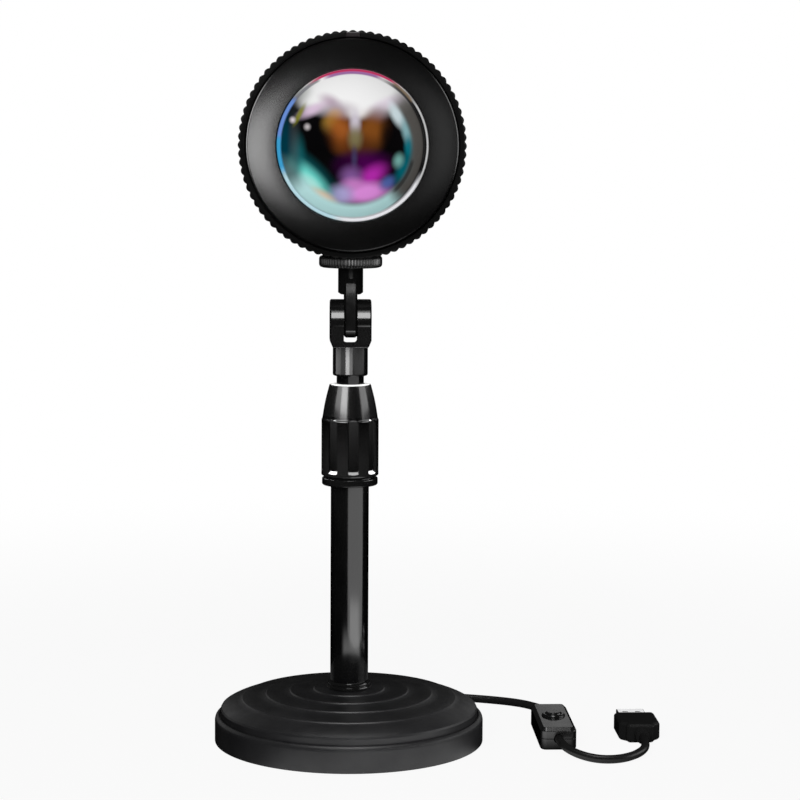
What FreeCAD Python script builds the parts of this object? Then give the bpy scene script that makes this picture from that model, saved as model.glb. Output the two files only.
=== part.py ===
import FreeCAD, Part
import math
import os

# A sunset projection lamp: weighted base, telescopic mast, tilting fork, round lens head, USB lead.
# Millimetres. The origin is the centre of the base's underside, +Z is up and the lens looks along -Y.

V = FreeCAD.Vector
UP = V(0, 0, 1)
CENTRE = V(0, 0, 0)

# Fits
running_gap = 0.05     # a shaft in its bore, on the radius
press_gap = 0.02       # pieces that are pressed or glued together
seat_gap = 0.1         # faces of two moving bodies that rest on each other

# Base
base_radius = 56.7
rim_top = 11.2
rim_fillet = 1.8
rim_groove_radius = 54.5
rim_groove_depth = 0.9
dome_edge_radius = 54.2
dome_curve_margin = 1.3   # how far past the dome's edge its curve would stand upright
dome_fall = 10.1          # from the middle down to there
dome_height = 21.85
dome_wall = 2.0
dome_step = 0.45
dome_step_radii = (14.7, 24.8, 34.9, 45.0)
rim_lift = 0.2
pad_thickness = 2.0
pad_margin = 0.5
weight_thickness = 6.0
weight_hub_radius = 13.0
bolt_radius = 3.0
bolt_head_radius = 5.0
bolt_head_height = 4.0
bolt_grip = 7.0
washer_radius = 8.5
washer_thickness = 1.6

# Pole and its collet
pole_radius = 8.0
pole_wall = 1.2
pole_top = 118.0
foot_ring_radius = 9.1
foot_ring_height = 3.1
foot_plug_height = 7.5
flange_radius = 11.7
flange_low = 108.9
flange_thickness = 3.1
neck_radius = 10.4
neck_height = 0.9
thread_radius = 9.6
collet_fingers = 6
finger_slit = 1.0
finger_length = 17.0
finger_tip_radius = 7.6

# Grip collar that closes the collet
collar_radius = 12.0
collar_height = 38.1
collar_cone_height = 14.3
collar_mouth_radius = 8.37
collar_top_bore = 6.5
flute_count = 8
flute_width = 4.5
flute_depth = 0.9
flute_foot = 1.3
flute_arch_rise = 0.9
flute_turn = 8.0

# Inner rod, its guide bush and the fork
rod_radius = 5.7
rod_wall = 1.0
rod_shown = 3.8
height_travel = 73.0
stop_room = 2.0        # from the bush to the collet's shoulder when the rod is right out
bush_length = 8.0
bush_tail = 1.5
bead_height = 0.6
bead_ramp = 0.5
bead_length = 0.8
sleeve_radius = 7.33
sleeve_height = 11.9
sleeve_depth_in = 10.5
sleeve_edge = 0.7
flare_height = 3.1
fork_half_width = 8.66
ear_radius = 8.0
pivot_rise = 23.9      # from the sleeve's foot to the tilt pivot
slot_width = 5.7
slot_floor = 10.6      # from the pivot down to the slot's floor
slot_corner = 1.2
ear_corner = 1.0
pivot_shank_radius = 2.0
pivot_head_radius = 3.5
pivot_head_depth = 2.2
pivot_nut_flat = 7.0

# Tilt tongue, stud and lock nut
tongue_width = 5.5
tongue_depth = 11.6
tongue_below = 7.9
tongue_above = 18.3
tongue_corner = 3.5
tongue_edge = 0.8
neck_boss_radius = 5.22
neck_boss_low = 10.1
neck_boss_high = 21.3
neck_boss_chamfer = 1.1
stud_radius = 3.1
stud_sink = 6.0
stud_rise = 13.5
nut_radius = 13.17
nut_height = 5.0
nut_ribs = 60
nut_rib_depth = 0.35
nut_edge = 0.9

# Head, measured along its own axis from the stud's axis: minus is towards the lens
housing_radius = 42.3
housing_wall = 2.2
housing_front = -24.5
housing_back = 20.0
boss_radius = 11.0
boss_shown = 3.1       # from the boss's foot to the housing's skin
insert_radius = 5.0
insert_length = 9.0
ring_front = -27.0
ring_back = -14.0
ring_depth = 3.9       # from the housing's skin out to the tips of the teeth
ring_tooth_depth = 1.1
ring_teeth = 80
ring_lip = 1.2         # how far the ring's lip stands off the housing's skin
ring_edge = 0.8
face_lap = 0.5         # how far the plate's edge reaches past the housing's skin
face_edge = -29.2
face_bevel = 0.6
face_inner = -31.6
face_skirt_length = 4.0
face_wall = 2.0
face_lip = 0.4
lens_radius = 30.5
lens_flange = 2.6
lens_border = 1.3      # the flat ring round the dome
lens_dome_height = 14.0
lens_seat = 2.9        # the ledge that carries the lens
gasket_thickness = 0.6
filter_margin = 2.6
filter_thickness = 1.6
filter_space = 1.0
cone_wall = 1.4
cone_small_radius = 7.0
cone_length = 17.0
board_radius = 16.0
board_thickness = 1.6
board_screw_set = 2.8
board_screw_radius = 1.45
board_screw_head = 2.2
board_screw_head_height = 1.4
emitter_radius = 5.0
emitter_height = 1.6
sink_radius = 26.0
sink_base = 3.0
sink_fins = 7
sink_fin_thickness = 1.6
sink_length = 21.0
control_width = 30.0
control_height = 11.0
control_depth = 1.6
control_room = 3.2     # from the board's top edge to the housing's bore
receiver_size = 4.0
guide_width = 4.0
guide_depth = 2.4
guide_set = 1.0        # from the housing's rim back to the light guide
guide_reach = 2.0      # how far the guide reaches in past the housing's bore
guide_over = 0.2       # the guide's slot runs this much further in
window_width = 5.8
window_height = 2.3
window_depth = 6.0
window_edge = 0.5
cover_thickness = 6.5
cover_crown = 3.5
cover_wall = 2.0
vent_slots = 16
vent_width = 2.4
vent_inner = 18.0
vent_margin = 12.4     # from the cover's edge in to the vents
screw_set = 6.4        # from the cover's edge in to the screws
screw_count = 4
screw_radius = 1.5
screw_head_radius = 2.8
screw_head_height = 1.8
screw_length = 10.0
screw_boss_radius = 3.2
relief_set = 10.4      # from the cover's edge in to the lead
relief_radius = 3.4
relief_tip_radius = 2.5
relief_length = 12.0
relief_ribs = 3

# USB lead
cord_diameter = 3.5
cord_sides = 8
floor_gap = 0.05
coil_turns = 3
coil_outer = 13.0
coil_pitch = 3.75
coil_straight = 32.0
coil_near = 60.5
coil_lead_in = 1.0
coil_lead_out = 4.0
drop_shape = (         # from the tip of the head's strain relief: right, back, up
    (0.1, 10.5, -0.1),
    (0.9, 19.7, -5.4),
    (2.4, 25.2, -14.9),
    (3.2, 26.7, -32.0),
    (11.0, 26.1, -56.0),
    (5.6, 24.7, -78.0),
    (1.5, 23.3, -105.5),
    (2.8, 22.7, -137.5),
    (-0.6, 22.4, -163.5),
    (-2.2, 22.2, -182.5),
)
landing_shape = (      # from the start of the coil: right, up
    (-17.6, 20.7),
    (-17.3, 11.6),
    (-15.1, 6.3),
    (-11.1, 2.2),
    (-5.75, 0.0),
)
crossing_shape = (     # from the inner end of the coil: right, back, up
    (11.0, 0.0, 0.0),
    (27.0, -1.0, 4.2),
    (43.0, -4.9, 4.2),
    (59.0, -8.6, 0.4),
)
approach_shape = (     # from the switch's axis and the coil's inner run: right, back, up
    (-22.0, -12.5, 0.0),
    (-9.0, -19.0, 0.0),
    (-2.2, -28.0, 0.2),
)
switch_lead = 6.0      # straight lead at the switch
switch_rise = 15.0     # where the lead starts to rise to the switch
switch_rise_foot = 0.9
bow_lead = 8.0
bow_side = 4.8
bow_deep = 8.4
bow_corner = 13.2
bow_lift = 1.3
bow_dip = 0.9

# Inline switch
switch_x = 87.0
switch_y = 0.0
switch_length = 43.0
switch_width = 15.2
switch_height = 9.4
switch_split = 4.8
switch_corner = 2.7
switch_edge = 1.4
switch_wall = 1.5
bezel_radius = 4.95
bezel_height = 1.0
button_radius = 3.5
button_travel = 1.2
button_proud = 1.7
button_stem = 1.6
button_edge = 0.9
button_dish = 0.3
switch_board_length = 26.0
switch_board_width = 10.0
switch_block = 6.0
cord_sink = 4.0

# USB plug
plug_x = 123.0
plug_low = -17.0
relief_plug_length = 5.8
plug_neck_length = 2.6
plug_neck_width = 12.0
plug_taper = 2.9
plug_width = 17.4
plug_length = 17.0
plug_height = 8.0
plug_corner = 1.6
usb_width = 12.0
usb_height = 4.5
usb_length = 11.8
usb_wall = 0.35
usb_window = 2.3
usb_window_set = 5.2
usb_window_pitch = 5.45
usb_sink = 3.0         # how deep the shell sits in the body
usb_tongue_height = 1.9
usb_contact_width = 1.0
usb_contacts = 4
usb_contact_row = 7.4

# Heights that follow from the sizes above
pad_radius = base_radius - dome_wall - pad_margin
hub_top = dome_height - dome_wall
flange_top = flange_low + flange_thickness
collar_low = flange_top + neck_height
collar_top = collar_low + collar_height
cone_low = collar_top - collar_cone_height
sleeve_low = collar_top + rod_shown
sleeve_top = sleeve_low + sleeve_height
pivot_height = sleeve_low + pivot_rise
pole_bore = pole_radius - pole_wall
bush_top = pole_top - height_travel - stop_room
bush_low = bush_top - bush_length
rod_low = bush_low - bush_tail
rod_top = sleeve_low + sleeve_depth_in
nut_low = pivot_height + neck_boss_high
boss_foot = nut_low + nut_height + seat_gap
head_height = boss_foot + boss_shown + housing_radius
ring_radius = housing_radius + ring_depth
ring_lip_radius = housing_radius + ring_lip
face_radius = housing_radius + face_lap
lens_dome_radius = lens_radius - lens_border
lens_seat_radius = lens_radius - lens_seat
filter_radius = lens_seat_radius - filter_margin
vent_outer = housing_radius - vent_margin
screw_circle = housing_radius - screw_set
relief_drop = housing_radius - relief_set
cord_radius = cord_diameter / 2
cord_corner = cord_radius / math.cos(math.pi / cord_sides)
floor_line = cord_radius + floor_gap


def save(name, shape):
    shape.exportStep(f"parts/{name}.step")
    print(name, len(shape.Solids), "solid", round(shape.Volume, 1), "mm3")


# A face in the XZ plane, from points (x, z) and arcs (x, z half way, x, z at the end).
def outline(points):
    edges, last = [], V(points[0][0], 0, points[0][1])
    for p in points[1:] + points[:1]:
        here = V(p[-2], 0, p[-1])
        if len(p) == 4:
            edges.append(Part.Arc(last, V(p[0], 0, p[1]), here).toShape())
        elif (here - last).Length > 1e-6:
            edges.append(Part.LineSegment(last, here).toShape())
        last = here
    return Part.Face(Part.Wire(edges))


def turned(points):
    return outline(points).revolve(CENTRE, UP, 360)


def disc(radius, low, high, x=0, y=0):
    return Part.makeCylinder(radius, high - low, V(x, y, low))


def tube(radius, bore, low, high):
    return disc(radius, low, high).cut(disc(bore, low - 1, high + 1))


# A box by its centre in X and Y and its two levels in Z.
def block(x, y, width, depth, low, high):
    return Part.makeBox(width, depth, high - low, V(x - width / 2, y - depth / 2, low))


def spun(shape, degrees, axis=UP, centre=CENTRE):
    copy = shape.copy()
    copy.rotate(centre, axis, degrees)
    return copy


# Head pieces are drawn about the Z axis with their depth upwards, then laid along Y at the head's height.
def in_head(shape):
    copy = shape.copy()
    copy.rotate(CENTRE, V(1, 0, 0), -90)
    copy.translate(V(0, 0, head_height))
    return copy


def quarter(radius):
    return radius * (1 - math.sqrt(0.5))


# ---- base ----

# Height of the dome's outer skin: part of an ellipse, flat in the middle and steep at the edge.
def dome_skin(radius):
    share = radius / (dome_edge_radius + dome_curve_margin)
    return dome_height - dome_fall * (1 - math.sqrt(1 - share ** 2))


def make_base_dome():
    foot, wall = rim_lift, dome_wall
    q = quarter(rim_fillet)
    groove = rim_top - rim_groove_depth
    points = [
        (base_radius, foot),
        (base_radius, rim_top - rim_fillet),
        (base_radius - q, rim_top - q),
        (base_radius - rim_fillet, rim_top),
        (rim_groove_radius, groove),
        (dome_edge_radius, groove),
        (dome_edge_radius, dome_skin(dome_edge_radius) - dome_step),
    ]
    outer = dome_edge_radius - dome_step
    span = outer - dome_step_radii[-1] - dome_step
    for k in range(4):
        points.append((outer - span * k / 4, dome_skin(outer - span * k / 4)))
    for radius in reversed(dome_step_radii):
        points.append((radius + dome_step, dome_skin(radius)))
        points.append((radius, dome_skin(radius) + dome_step))
    points += [(0, dome_height + dome_step), (0, dome_height - wall)]
    under, hub = dome_edge_radius - wall, weight_hub_radius + 1
    points.append((hub, dome_height - wall))
    for k in range(1, 5):
        radius = hub + (under - hub) * k / 4
        points.append((radius, dome_skin(radius) - wall))
    points += [(under, groove - wall), (base_radius - wall, groove - wall), (base_radius - wall, foot)]
    shell = turned(points)
    return shell.cut(disc(bolt_radius + 0.4, 0, dome_height + 2))


def make_base_weight():
    top = pad_thickness + weight_thickness
    radius = dome_edge_radius - dome_wall - 2
    body = turned([(0, pad_thickness), (radius, pad_thickness), (radius, top - 1), (radius - 1, top),
                   (weight_hub_radius + 3, top), (weight_hub_radius, top + 3),
                   (weight_hub_radius, hub_top), (0, hub_top)])
    seat = pad_thickness + bolt_head_height + washer_thickness + 1
    body = body.cut(disc(washer_radius + 0.5, 0, seat))
    return body.cut(disc(bolt_radius + 0.4, 0, hub_top + 1))


def make_base_bolt():
    seat = pad_thickness + bolt_head_height + 1
    head = disc(bolt_head_radius, seat - bolt_head_height, seat)
    socket = Part.Face(Part.makePolygon([V(2.9 * math.cos(a), 2.9 * math.sin(a), 0)
                                         for a in [k * math.pi / 3 for k in range(7)]]))
    socket.translate(V(0, 0, seat - bolt_head_height))
    shank = disc(bolt_radius, seat, dome_height + dome_step + bolt_grip)
    return head.cut(socket.extrude(V(0, 0, 2.2))).fuse(shank)


def make_base_washer():
    seat = pad_thickness + bolt_head_height + 1
    return tube(washer_radius, bolt_radius + 0.3, seat, seat + washer_thickness)


def make_foot_ring():
    low = dome_height + dome_step
    bore, r, h = pole_radius + running_gap, foot_ring_radius, foot_ring_height
    bead = h * 0.42
    return turned([(bore, low), (r, low), (r + 0.3, low + bead / 2), (r, low + bead), (r - 0.4, low + bead),
                   (r - 0.1, low + (h + bead) / 2), (r - 0.7, low + h), (bore, low + h)])


def make_foot_plug():
    low = dome_height + dome_step
    return tube(pole_bore - press_gap, bolt_radius + running_gap, low, low + foot_plug_height)


# ---- pole, collet and grip collar ----

def make_pole():
    return tube(pole_radius, pole_bore, dome_height + dome_step, pole_top)


def make_collet():
    bore = rod_radius + running_gap
    tip = pole_top + finger_length
    points = [(pole_radius + running_gap, flange_low), (flange_radius - 0.4, flange_low),
              (flange_radius, flange_low + 0.4), (flange_radius, flange_top - 0.4),
              (flange_radius - 0.4, flange_top), (neck_radius, flange_top),
              (neck_radius, collar_low), (thread_radius, collar_low), (thread_radius, pole_top + 2),
              (finger_tip_radius + 0.6, tip - 3), (finger_tip_radius - 0.4, tip), (bore, tip),
              (bore, pole_top), (pole_radius + running_gap, pole_top)]
    body = turned(points)
    slit = Part.makeBox(thread_radius + 1, finger_slit, finger_length, V(0, -finger_slit / 2, pole_top + 1))
    for k in range(collet_fingers):
        body = body.cut(spun(slit, k * 360 / collet_fingers))
    return body


# One flute: a flat-bottomed channel with an arched top, cut from outside.
def make_flute():
    low, half = collar_low + flute_foot, flute_width / 2
    spring = cone_low + flute_arch_rise - half
    arch = outline([(-half, low), (half, low), (half, spring), (0, spring + half, -half, spring)])
    cutter = arch.extrude(V(0, 6, 0))
    cutter.translate(V(0, collar_radius - flute_depth, 0))
    return cutter


def make_collar():
    bore, r = thread_radius + 0.15, collar_radius
    bevel = 0.35
    body = turned([
        (bore, collar_low), (r - bevel, collar_low), (r, collar_low + bevel),
        (r, cone_low - bevel), (r - bevel, cone_low), (collar_mouth_radius + bevel, collar_top - bevel / 2),
        (collar_mouth_radius, collar_top), (collar_top_bore, collar_top), (collar_top_bore, collar_top - 3),
        (finger_tip_radius + 0.9, pole_top + finger_length - 2.5), (bore, pole_top + 4)])
    for k in range(flute_count):
        body = body.cut(spun(make_flute(), 180 + flute_turn + k * 360 / flute_count))
    return body


def make_bush():
    shell = tube(pole_bore - running_gap, rod_radius + running_gap, bush_low, bush_top)
    return shell.cut(Part.makeBox(pole_bore + 1, 1.2, bush_length + 2, V(0, -0.6, bush_low - 1)))


# The rod carries two beads that keep the bush in its place.
def make_rod():
    r, proud = rod_radius, rod_radius + bead_height
    foot, head = bush_low - seat_gap, bush_top + seat_gap
    return turned([
        (r - rod_wall, rod_low), (r, rod_low), (proud, rod_low + bead_ramp), (proud, foot), (r, foot),
        (r, head), (proud, head), (proud, head + bead_length), (r, head + bead_length + bead_ramp),
        (r, rod_top), (r - rod_wall, rod_top)])


# ---- fork, tongue and nut ----

def make_fork():
    ear_top = pivot_height + ear_radius
    w, c = fork_half_width, ear_corner
    flare = sleeve_top + flare_height
    front = outline([(-sleeve_radius, sleeve_low), (sleeve_radius, sleeve_low), (sleeve_radius, sleeve_top),
                     (w, flare), (w, ear_top - c), (w - c, ear_top),
                     (-w + c, ear_top), (-w, ear_top - c), (-w, flare),
                     (-sleeve_radius, sleeve_top)])
    front = front.extrude(V(0, 4 * ear_radius, 0))
    front.translate(V(0, -2 * ear_radius, 0))
    side = Part.makeCylinder(ear_radius, 2 * w, V(-w, 0, pivot_height), V(1, 0, 0))
    side = side.fuse(block(0, 0, 2 * w, 2 * sleeve_radius, sleeve_top, pivot_height))
    head = side.common(front)
    sleeve = turned([(0, sleeve_low), (sleeve_radius - sleeve_edge, sleeve_low),
                     (sleeve_radius, sleeve_low + sleeve_edge), (sleeve_radius, sleeve_top + 1),
                     (0, sleeve_top + 1)])
    body = sleeve.fuse(head.common(disc(fork_half_width + 1, sleeve_top, ear_top + 1)))
    body = body.cut(disc(rod_radius + press_gap, sleeve_low - 1, rod_top + seat_gap))
    half, floor, c = slot_width / 2, pivot_height - slot_floor, slot_corner
    slot = outline([(-half, ear_top + 1), (-half, floor + c), (-half + c, floor),
                    (half - c, floor), (half, floor + c), (half, ear_top + 1)])
    slot = slot.extrude(V(0, 4 * ear_radius, 0))
    slot.translate(V(0, -2 * ear_radius, 0))
    body = body.cut(slot)
    body = body.cut(Part.makeCylinder(pivot_shank_radius + running_gap, 2 * w + 2,
                                      V(-w - 1, 0, pivot_height), V(1, 0, 0)))
    pocket = Part.makeCylinder(pivot_head_radius + 0.2, pivot_head_depth + 1,
                               V(w - pivot_head_depth, 0, pivot_height), V(1, 0, 0))
    return body.cut(pocket).cut(make_pivot_nut_blank(0.1, 1))


# A hexagonal prism in the left ear; the ear's pocket is the same one, a little larger.
def make_pivot_nut_blank(room, over):
    radius = (pivot_nut_flat / 2 + room) / math.cos(math.pi / 6)
    points = [V(0, radius * math.cos(a), radius * math.sin(a)) for a in [k * math.pi / 3 for k in range(7)]]
    nut = Part.Face(Part.makePolygon(points)).extrude(V(pivot_head_depth + over, 0, 0))
    nut.translate(V(-fork_half_width - over, 0, pivot_height))
    return nut


def make_pivot_nut():
    bore = Part.makeCylinder(pivot_shank_radius + press_gap, 2 * fork_half_width,
                             V(-fork_half_width - 1, 0, pivot_height), V(1, 0, 0))
    return make_pivot_nut_blank(0, -0.2).cut(bore)


def make_pivot_screw():
    w = fork_half_width
    shank = Part.makeCylinder(pivot_shank_radius, 2 * w - pivot_head_depth - 0.6,
                              V(-w + 0.6, 0, pivot_height), V(1, 0, 0))
    head = Part.makeCylinder(pivot_head_radius, pivot_head_depth - 0.3,
                             V(w - pivot_head_depth, 0, pivot_height), V(1, 0, 0))
    key = Part.makeCylinder(1.4, 1.2, V(w - 1.5, 0, pivot_height), V(1, 0, 0))
    return shank.fuse(head).cut(key)


# The tongue is a flat strap, round at both ends seen from the side, standing proud of a round neck.
def make_tongue():
    low, high = pivot_height - tongue_below, pivot_height + tongue_above
    half, c, q = tongue_depth / 2, tongue_corner, quarter(tongue_corner)
    strap = outline([(-half, low + c), (-half + q, low + q, -half + c, low), (half - c, low),
                     (half - q, low + q, half, low + c), (half, high - c),
                     (half - q, high - q, half - c, high), (-half + c, high),
                     (-half + q, high - q, -half, high - c)])
    strap = spun(strap.extrude(V(0, tongue_width, 0)), 90)
    strap.translate(V(tongue_width / 2, 0, 0))
    strap = strap.makeChamfer(tongue_edge, [e for e in strap.Edges if abs(e.BoundBox.XLength) < 1e-6
                                            and abs(e.BoundBox.YLength) < 1e-6])
    neck_low, neck_high = pivot_height + neck_boss_low, pivot_height + neck_boss_high
    r, b = neck_boss_radius, neck_boss_chamfer
    neck = turned([(0, neck_low), (r - b, neck_low), (r, neck_low + b * 0.7), (r, neck_high),
                   (0, neck_high)])
    body = strap.fuse(neck)
    body = body.cut(disc(stud_radius + press_gap, neck_high - stud_sink, neck_high + 1))
    return body.cut(Part.makeCylinder(pivot_shank_radius + running_gap, 2 * tongue_width,
                                      V(-tongue_width, 0, pivot_height), V(1, 0, 0)))


def make_stud():
    low, high = nut_low - stud_sink, nut_low + stud_rise
    return turned([(0, low), (stud_radius, low), (stud_radius, high - 0.7), (stud_radius - 0.7, high),
                   (0, high)])


# A knurled disc: ribs all round, with rounded top and bottom edges.
def make_lock_nut():
    step = math.pi / nut_ribs
    points = [V((nut_radius - nut_rib_depth * (k % 2)) * math.cos(k * step),
                (nut_radius - nut_rib_depth * (k % 2)) * math.sin(k * step), nut_low)
              for k in range(2 * nut_ribs)]
    ribbed = Part.Face(Part.makePolygon(points + points[:1])).extrude(V(0, 0, nut_height))
    top, r, e = nut_low + nut_height, nut_radius, nut_edge
    rounded = turned([(0, nut_low), (r - e, nut_low), (r + 0.05, nut_low + e), (r + 0.05, top - e),
                      (r - e, top), (0, top)])
    return ribbed.common(rounded).cut(disc(stud_radius + running_gap, nut_low - 1, top + 1))


# ---- head ----

def make_insert():
    return tube(insert_radius, stud_radius + running_gap, boss_foot, boss_foot + insert_length)


def screw_places(radius):
    for k in range(screw_count):
        angle = math.radians(45 + k * 360 / screw_count)
        yield radius * math.cos(angle), radius * math.sin(angle)


# The cup: open in front for the face plate, open at the back for the vented cover.
def make_housing():
    r, bore = housing_radius, housing_radius - housing_wall
    shell = tube(r, bore, housing_front, housing_back)
    for x, y in screw_places(screw_circle):
        post = disc(screw_boss_radius, housing_back - screw_length - 2, housing_back, x, y)
        shell = shell.fuse(post.fuse(post_web(x, y)))
    shell = in_head(shell)
    boss = disc(boss_radius, boss_foot, head_height - bore + 4)
    inside = in_head(disc(bore - 3, housing_front, housing_back))
    shell = shell.fuse(boss.cut(inside))
    for x, y in screw_places(screw_circle):
        pilot = disc(screw_radius + running_gap, housing_back - screw_length, housing_back + 1, x, y)
        shell = shell.cut(in_head(pilot))
    shell = shell.cut(disc(insert_radius + press_gap, boss_foot - 1, boss_foot + insert_length + seat_gap))
    shell = shell.cut(disc(stud_radius + 0.4, boss_foot, nut_low + stud_rise + 1))
    return shell.cut(window_slot())


# The web that ties a screw post to the housing's wall.
def post_web(x, y):
    length = housing_radius - housing_wall / 2 - screw_circle
    angle = math.degrees(math.atan2(y, x))
    web = block(screw_circle + length / 2, 0, length, 2 * screw_radius,
                housing_back - screw_length - 2, housing_back)
    return spun(web, angle)


# The grip ring: rounded teeth all round, a lip in front and a notch on top for the receiver's window.
def make_knurled_ring():
    points, count = [], ring_teeth
    root = ring_radius - ring_tooth_depth
    shoulder = ring_radius - ring_tooth_depth * 0.3
    at = lambda radius, turn: V(radius * math.cos(turn * 2 * math.pi / count),
                                radius * math.sin(turn * 2 * math.pi / count), ring_front)
    for k in range(count):
        points += [at(root, k), at(shoulder, k + 0.2), at(ring_radius, k + 0.4), at(ring_radius, k + 0.6),
                   at(shoulder, k + 0.8)]
    toothed = Part.Face(Part.makePolygon(points + points[:1])).extrude(V(0, 0, ring_back - ring_front))
    r, e = ring_radius, ring_edge
    chamfered = turned([(0, ring_front), (r - e - 0.4, ring_front), (r + 0.01, ring_front + e),
                        (r + 0.01, ring_back - e), (r - e - 0.4, ring_back), (0, ring_back)])
    ring = toothed.common(chamfered)
    ring = ring.cut(disc(housing_radius + press_gap, ring_front - 1, ring_back + 1))
    ring = ring.cut(disc(ring_lip_radius, ring_front - 1, housing_front))
    return in_head(ring).cut(window_slot())


# The receiver's window: a block in the ring's lip, with a light guide down through the housing's wall.
def make_window_blank(room=0, over=0):
    low = head_height + ring_lip_radius - 0.3
    pane = block(0, ring_front + window_depth / 2, window_width + 2 * room, window_depth + 2 * room,
                 low - room, low + window_height + room)
    guide_y = housing_front + guide_set + guide_depth / 2
    return pane.fuse(block(0, guide_y, guide_width + 2 * room, guide_depth + 2 * room, guide_foot() - over,
                           low + window_height / 2))


def window_slot():
    return make_window_blank(press_gap, guide_over)


def guide_foot():
    return head_height + housing_radius - housing_wall - guide_reach


def make_ir_window():
    window = make_window_blank()
    return window.makeChamfer(window_edge, [e for e in window.Edges if e.BoundBox.YMax < ring_front + 0.01])


# The face plate: a shallow cone that rises to the lens, a bright bevel at its edge and a skirt behind.
def make_face_plate():
    seat = face_inner + lens_flange + gasket_thickness
    skirt = housing_radius - housing_wall - running_gap
    bore = lens_radius + running_gap
    back = housing_front + face_skirt_length
    front = housing_front - press_gap
    return in_head(turned([
        (bore, face_inner + face_lip), (bore + face_lip, face_inner), (face_radius - face_bevel, face_edge),
        (face_radius, face_edge + face_bevel), (face_radius, front),
        (skirt, front), (skirt, back), (skirt - face_wall, back), (skirt - face_wall, seat + face_wall),
        (lens_seat_radius, seat + face_wall), (lens_seat_radius, seat), (bore, seat)])).cut(window_slot())


def make_lens():
    back = face_inner + lens_flange
    rim = back - lens_flange
    r, h = lens_dome_radius, lens_dome_height
    ball = (r * r + h * h) / (2 * h)
    middle = math.asin(r / ball) / 2
    bulge = (ball * math.sin(middle), rim - h + ball * (1 - math.cos(middle)))
    return in_head(turned([(0, back), (lens_radius, back), (lens_radius, rim + 0.3),
                           (lens_radius - 0.3, rim), (r, rim), (*bulge, 0, rim - h)]))


def make_gasket():
    back = face_inner + lens_flange
    return in_head(tube(lens_radius, lens_seat_radius, back, back + gasket_thickness))


def filter_front():
    return face_inner + lens_flange + gasket_thickness + filter_space


def make_filter():
    low = filter_front()
    return in_head(disc(filter_radius, low, low + filter_thickness))


# A dark cone between the light and the filter; its mouth holds the filter in a step.
def make_light_cone():
    low = filter_front()
    step, wall = low + filter_thickness + press_gap, cone_wall
    mouth, small = filter_radius + running_gap, cone_small_radius
    end = step + cone_length
    outer = lens_seat_radius - running_gap
    return in_head(turned([
        (mouth, low - filter_space / 2), (outer, low - filter_space / 2), (outer, step + 1),
        (small + wall, end), (small, end), (mouth - 1.5, step), (mouth, step)]))


board_screw_place = board_radius - board_screw_set


def led_front():
    return filter_front() + filter_thickness + press_gap + cone_length + running_gap


def make_led_board():
    low = led_front()
    board = disc(board_radius, low, low + board_thickness)
    for side in (-1, 1):
        board = board.cut(disc(board_screw_radius + 0.2, low - 1, low + 3, side * board_screw_place, 0))
    return in_head(board)


def make_emitter():
    low = led_front()
    return in_head(disc(emitter_radius, low - emitter_height, low))


def make_board_screws():
    low = led_front()
    high = low + board_thickness + sink_base - 0.5
    screws = []
    for side in (-1, 1):
        x = side * board_screw_place
        head = disc(board_screw_head, low - board_screw_head_height, low, x, 0)
        screws.append(head.fuse(disc(board_screw_radius, low, high, x, 0)))
    return in_head(Part.makeCompound(screws))


# The heat sink: a round plate with straight fins, on two ears that reach the housing's wall.
def make_heat_sink():
    low = led_front() + board_thickness
    high = housing_back - seat_gap
    plate = disc(sink_radius, low, low + sink_base)
    ears = block(0, 0, 2 * (housing_radius - housing_wall - 0.3), 8, low, low + sink_base)
    body = plate.fuse(ears)
    space = 2 * (sink_radius - 4) / (sink_fins - 1)
    for k in range(sink_fins):
        x = -(sink_radius - 4) + k * space
        chord = math.sqrt(sink_radius ** 2 - x ** 2) * 2 - 2
        body = body.fuse(block(x, 0, sink_fin_thickness, chord, low, min(high, low + sink_length)))
    for side in (-1, 1):
        hole = disc(board_screw_radius + running_gap, low - 1, low + sink_base - 0.4,
                    side * board_screw_place, 0)
        body = body.cut(hole)
    return in_head(body)


# The control board stands behind the face plate's skirt, close to the wall, under the light guide.
control_front = housing_front + face_skirt_length + press_gap
control_top = head_height + housing_radius - housing_wall - control_room


def make_control_board():
    return block(0, control_front + control_depth / 2, control_width, control_depth,
                 control_top - control_height, control_top)


def make_receiver():
    high = guide_foot() - 0.3
    depth = receiver_size * 0.8
    body = block(0, control_front - depth / 2 - press_gap, receiver_size, depth,
                 high - receiver_size, high - 0.8)
    return body.fuse(block(0, control_front - depth / 2 - press_gap, receiver_size - 1.2, depth - 0.8,
                           high - 1.0, high))


# The back cover: a low crown with radial vents, screw seats and the hole for the lead.
def make_rear_cover():
    low, high, r = housing_back + 0.02, housing_back + cover_thickness, housing_radius
    wall, edge = cover_wall, cover_crown
    q = quarter(edge)
    body = turned([(0, high - wall), (r - edge - wall, high - wall), (r - housing_wall, low + 1.5),
                   (r - housing_wall, low), (r, low), (r, high - edge),
                   (r - q, high - q), (r - edge, high), (0, high)])
    slot = block((vent_inner + vent_outer) / 2, 0, vent_outer - vent_inner, vent_width,
                 high - wall - 1, high + 1)
    for x in (vent_inner, vent_outer):
        slot = slot.fuse(disc(vent_width / 2, high - wall - 1, high + 1, x, 0))
    for k in range(vent_slots):
        turn = (k + 0.5) * 360 / vent_slots
        if abs(turn - 90) > 360 / vent_slots:
            body = body.cut(spun(slot, turn))
    for x, y in screw_places(screw_circle):
        seat = disc(screw_boss_radius, low, high - 0.6, x, y)
        body = body.fuse(seat.cut(disc(screw_head_radius + 0.2, high - screw_head_height, high + 1, x, y)))
        body = body.cut(disc(screw_head_radius + 0.2, high - screw_head_height, high + 1, x, y))
        body = body.cut(disc(screw_radius + 0.2, low - 1, high + 1, x, y))
    body = body.cut(disc(relief_radius + running_gap, low - 1, high + 1, 0, relief_drop))
    return in_head(body)


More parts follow.
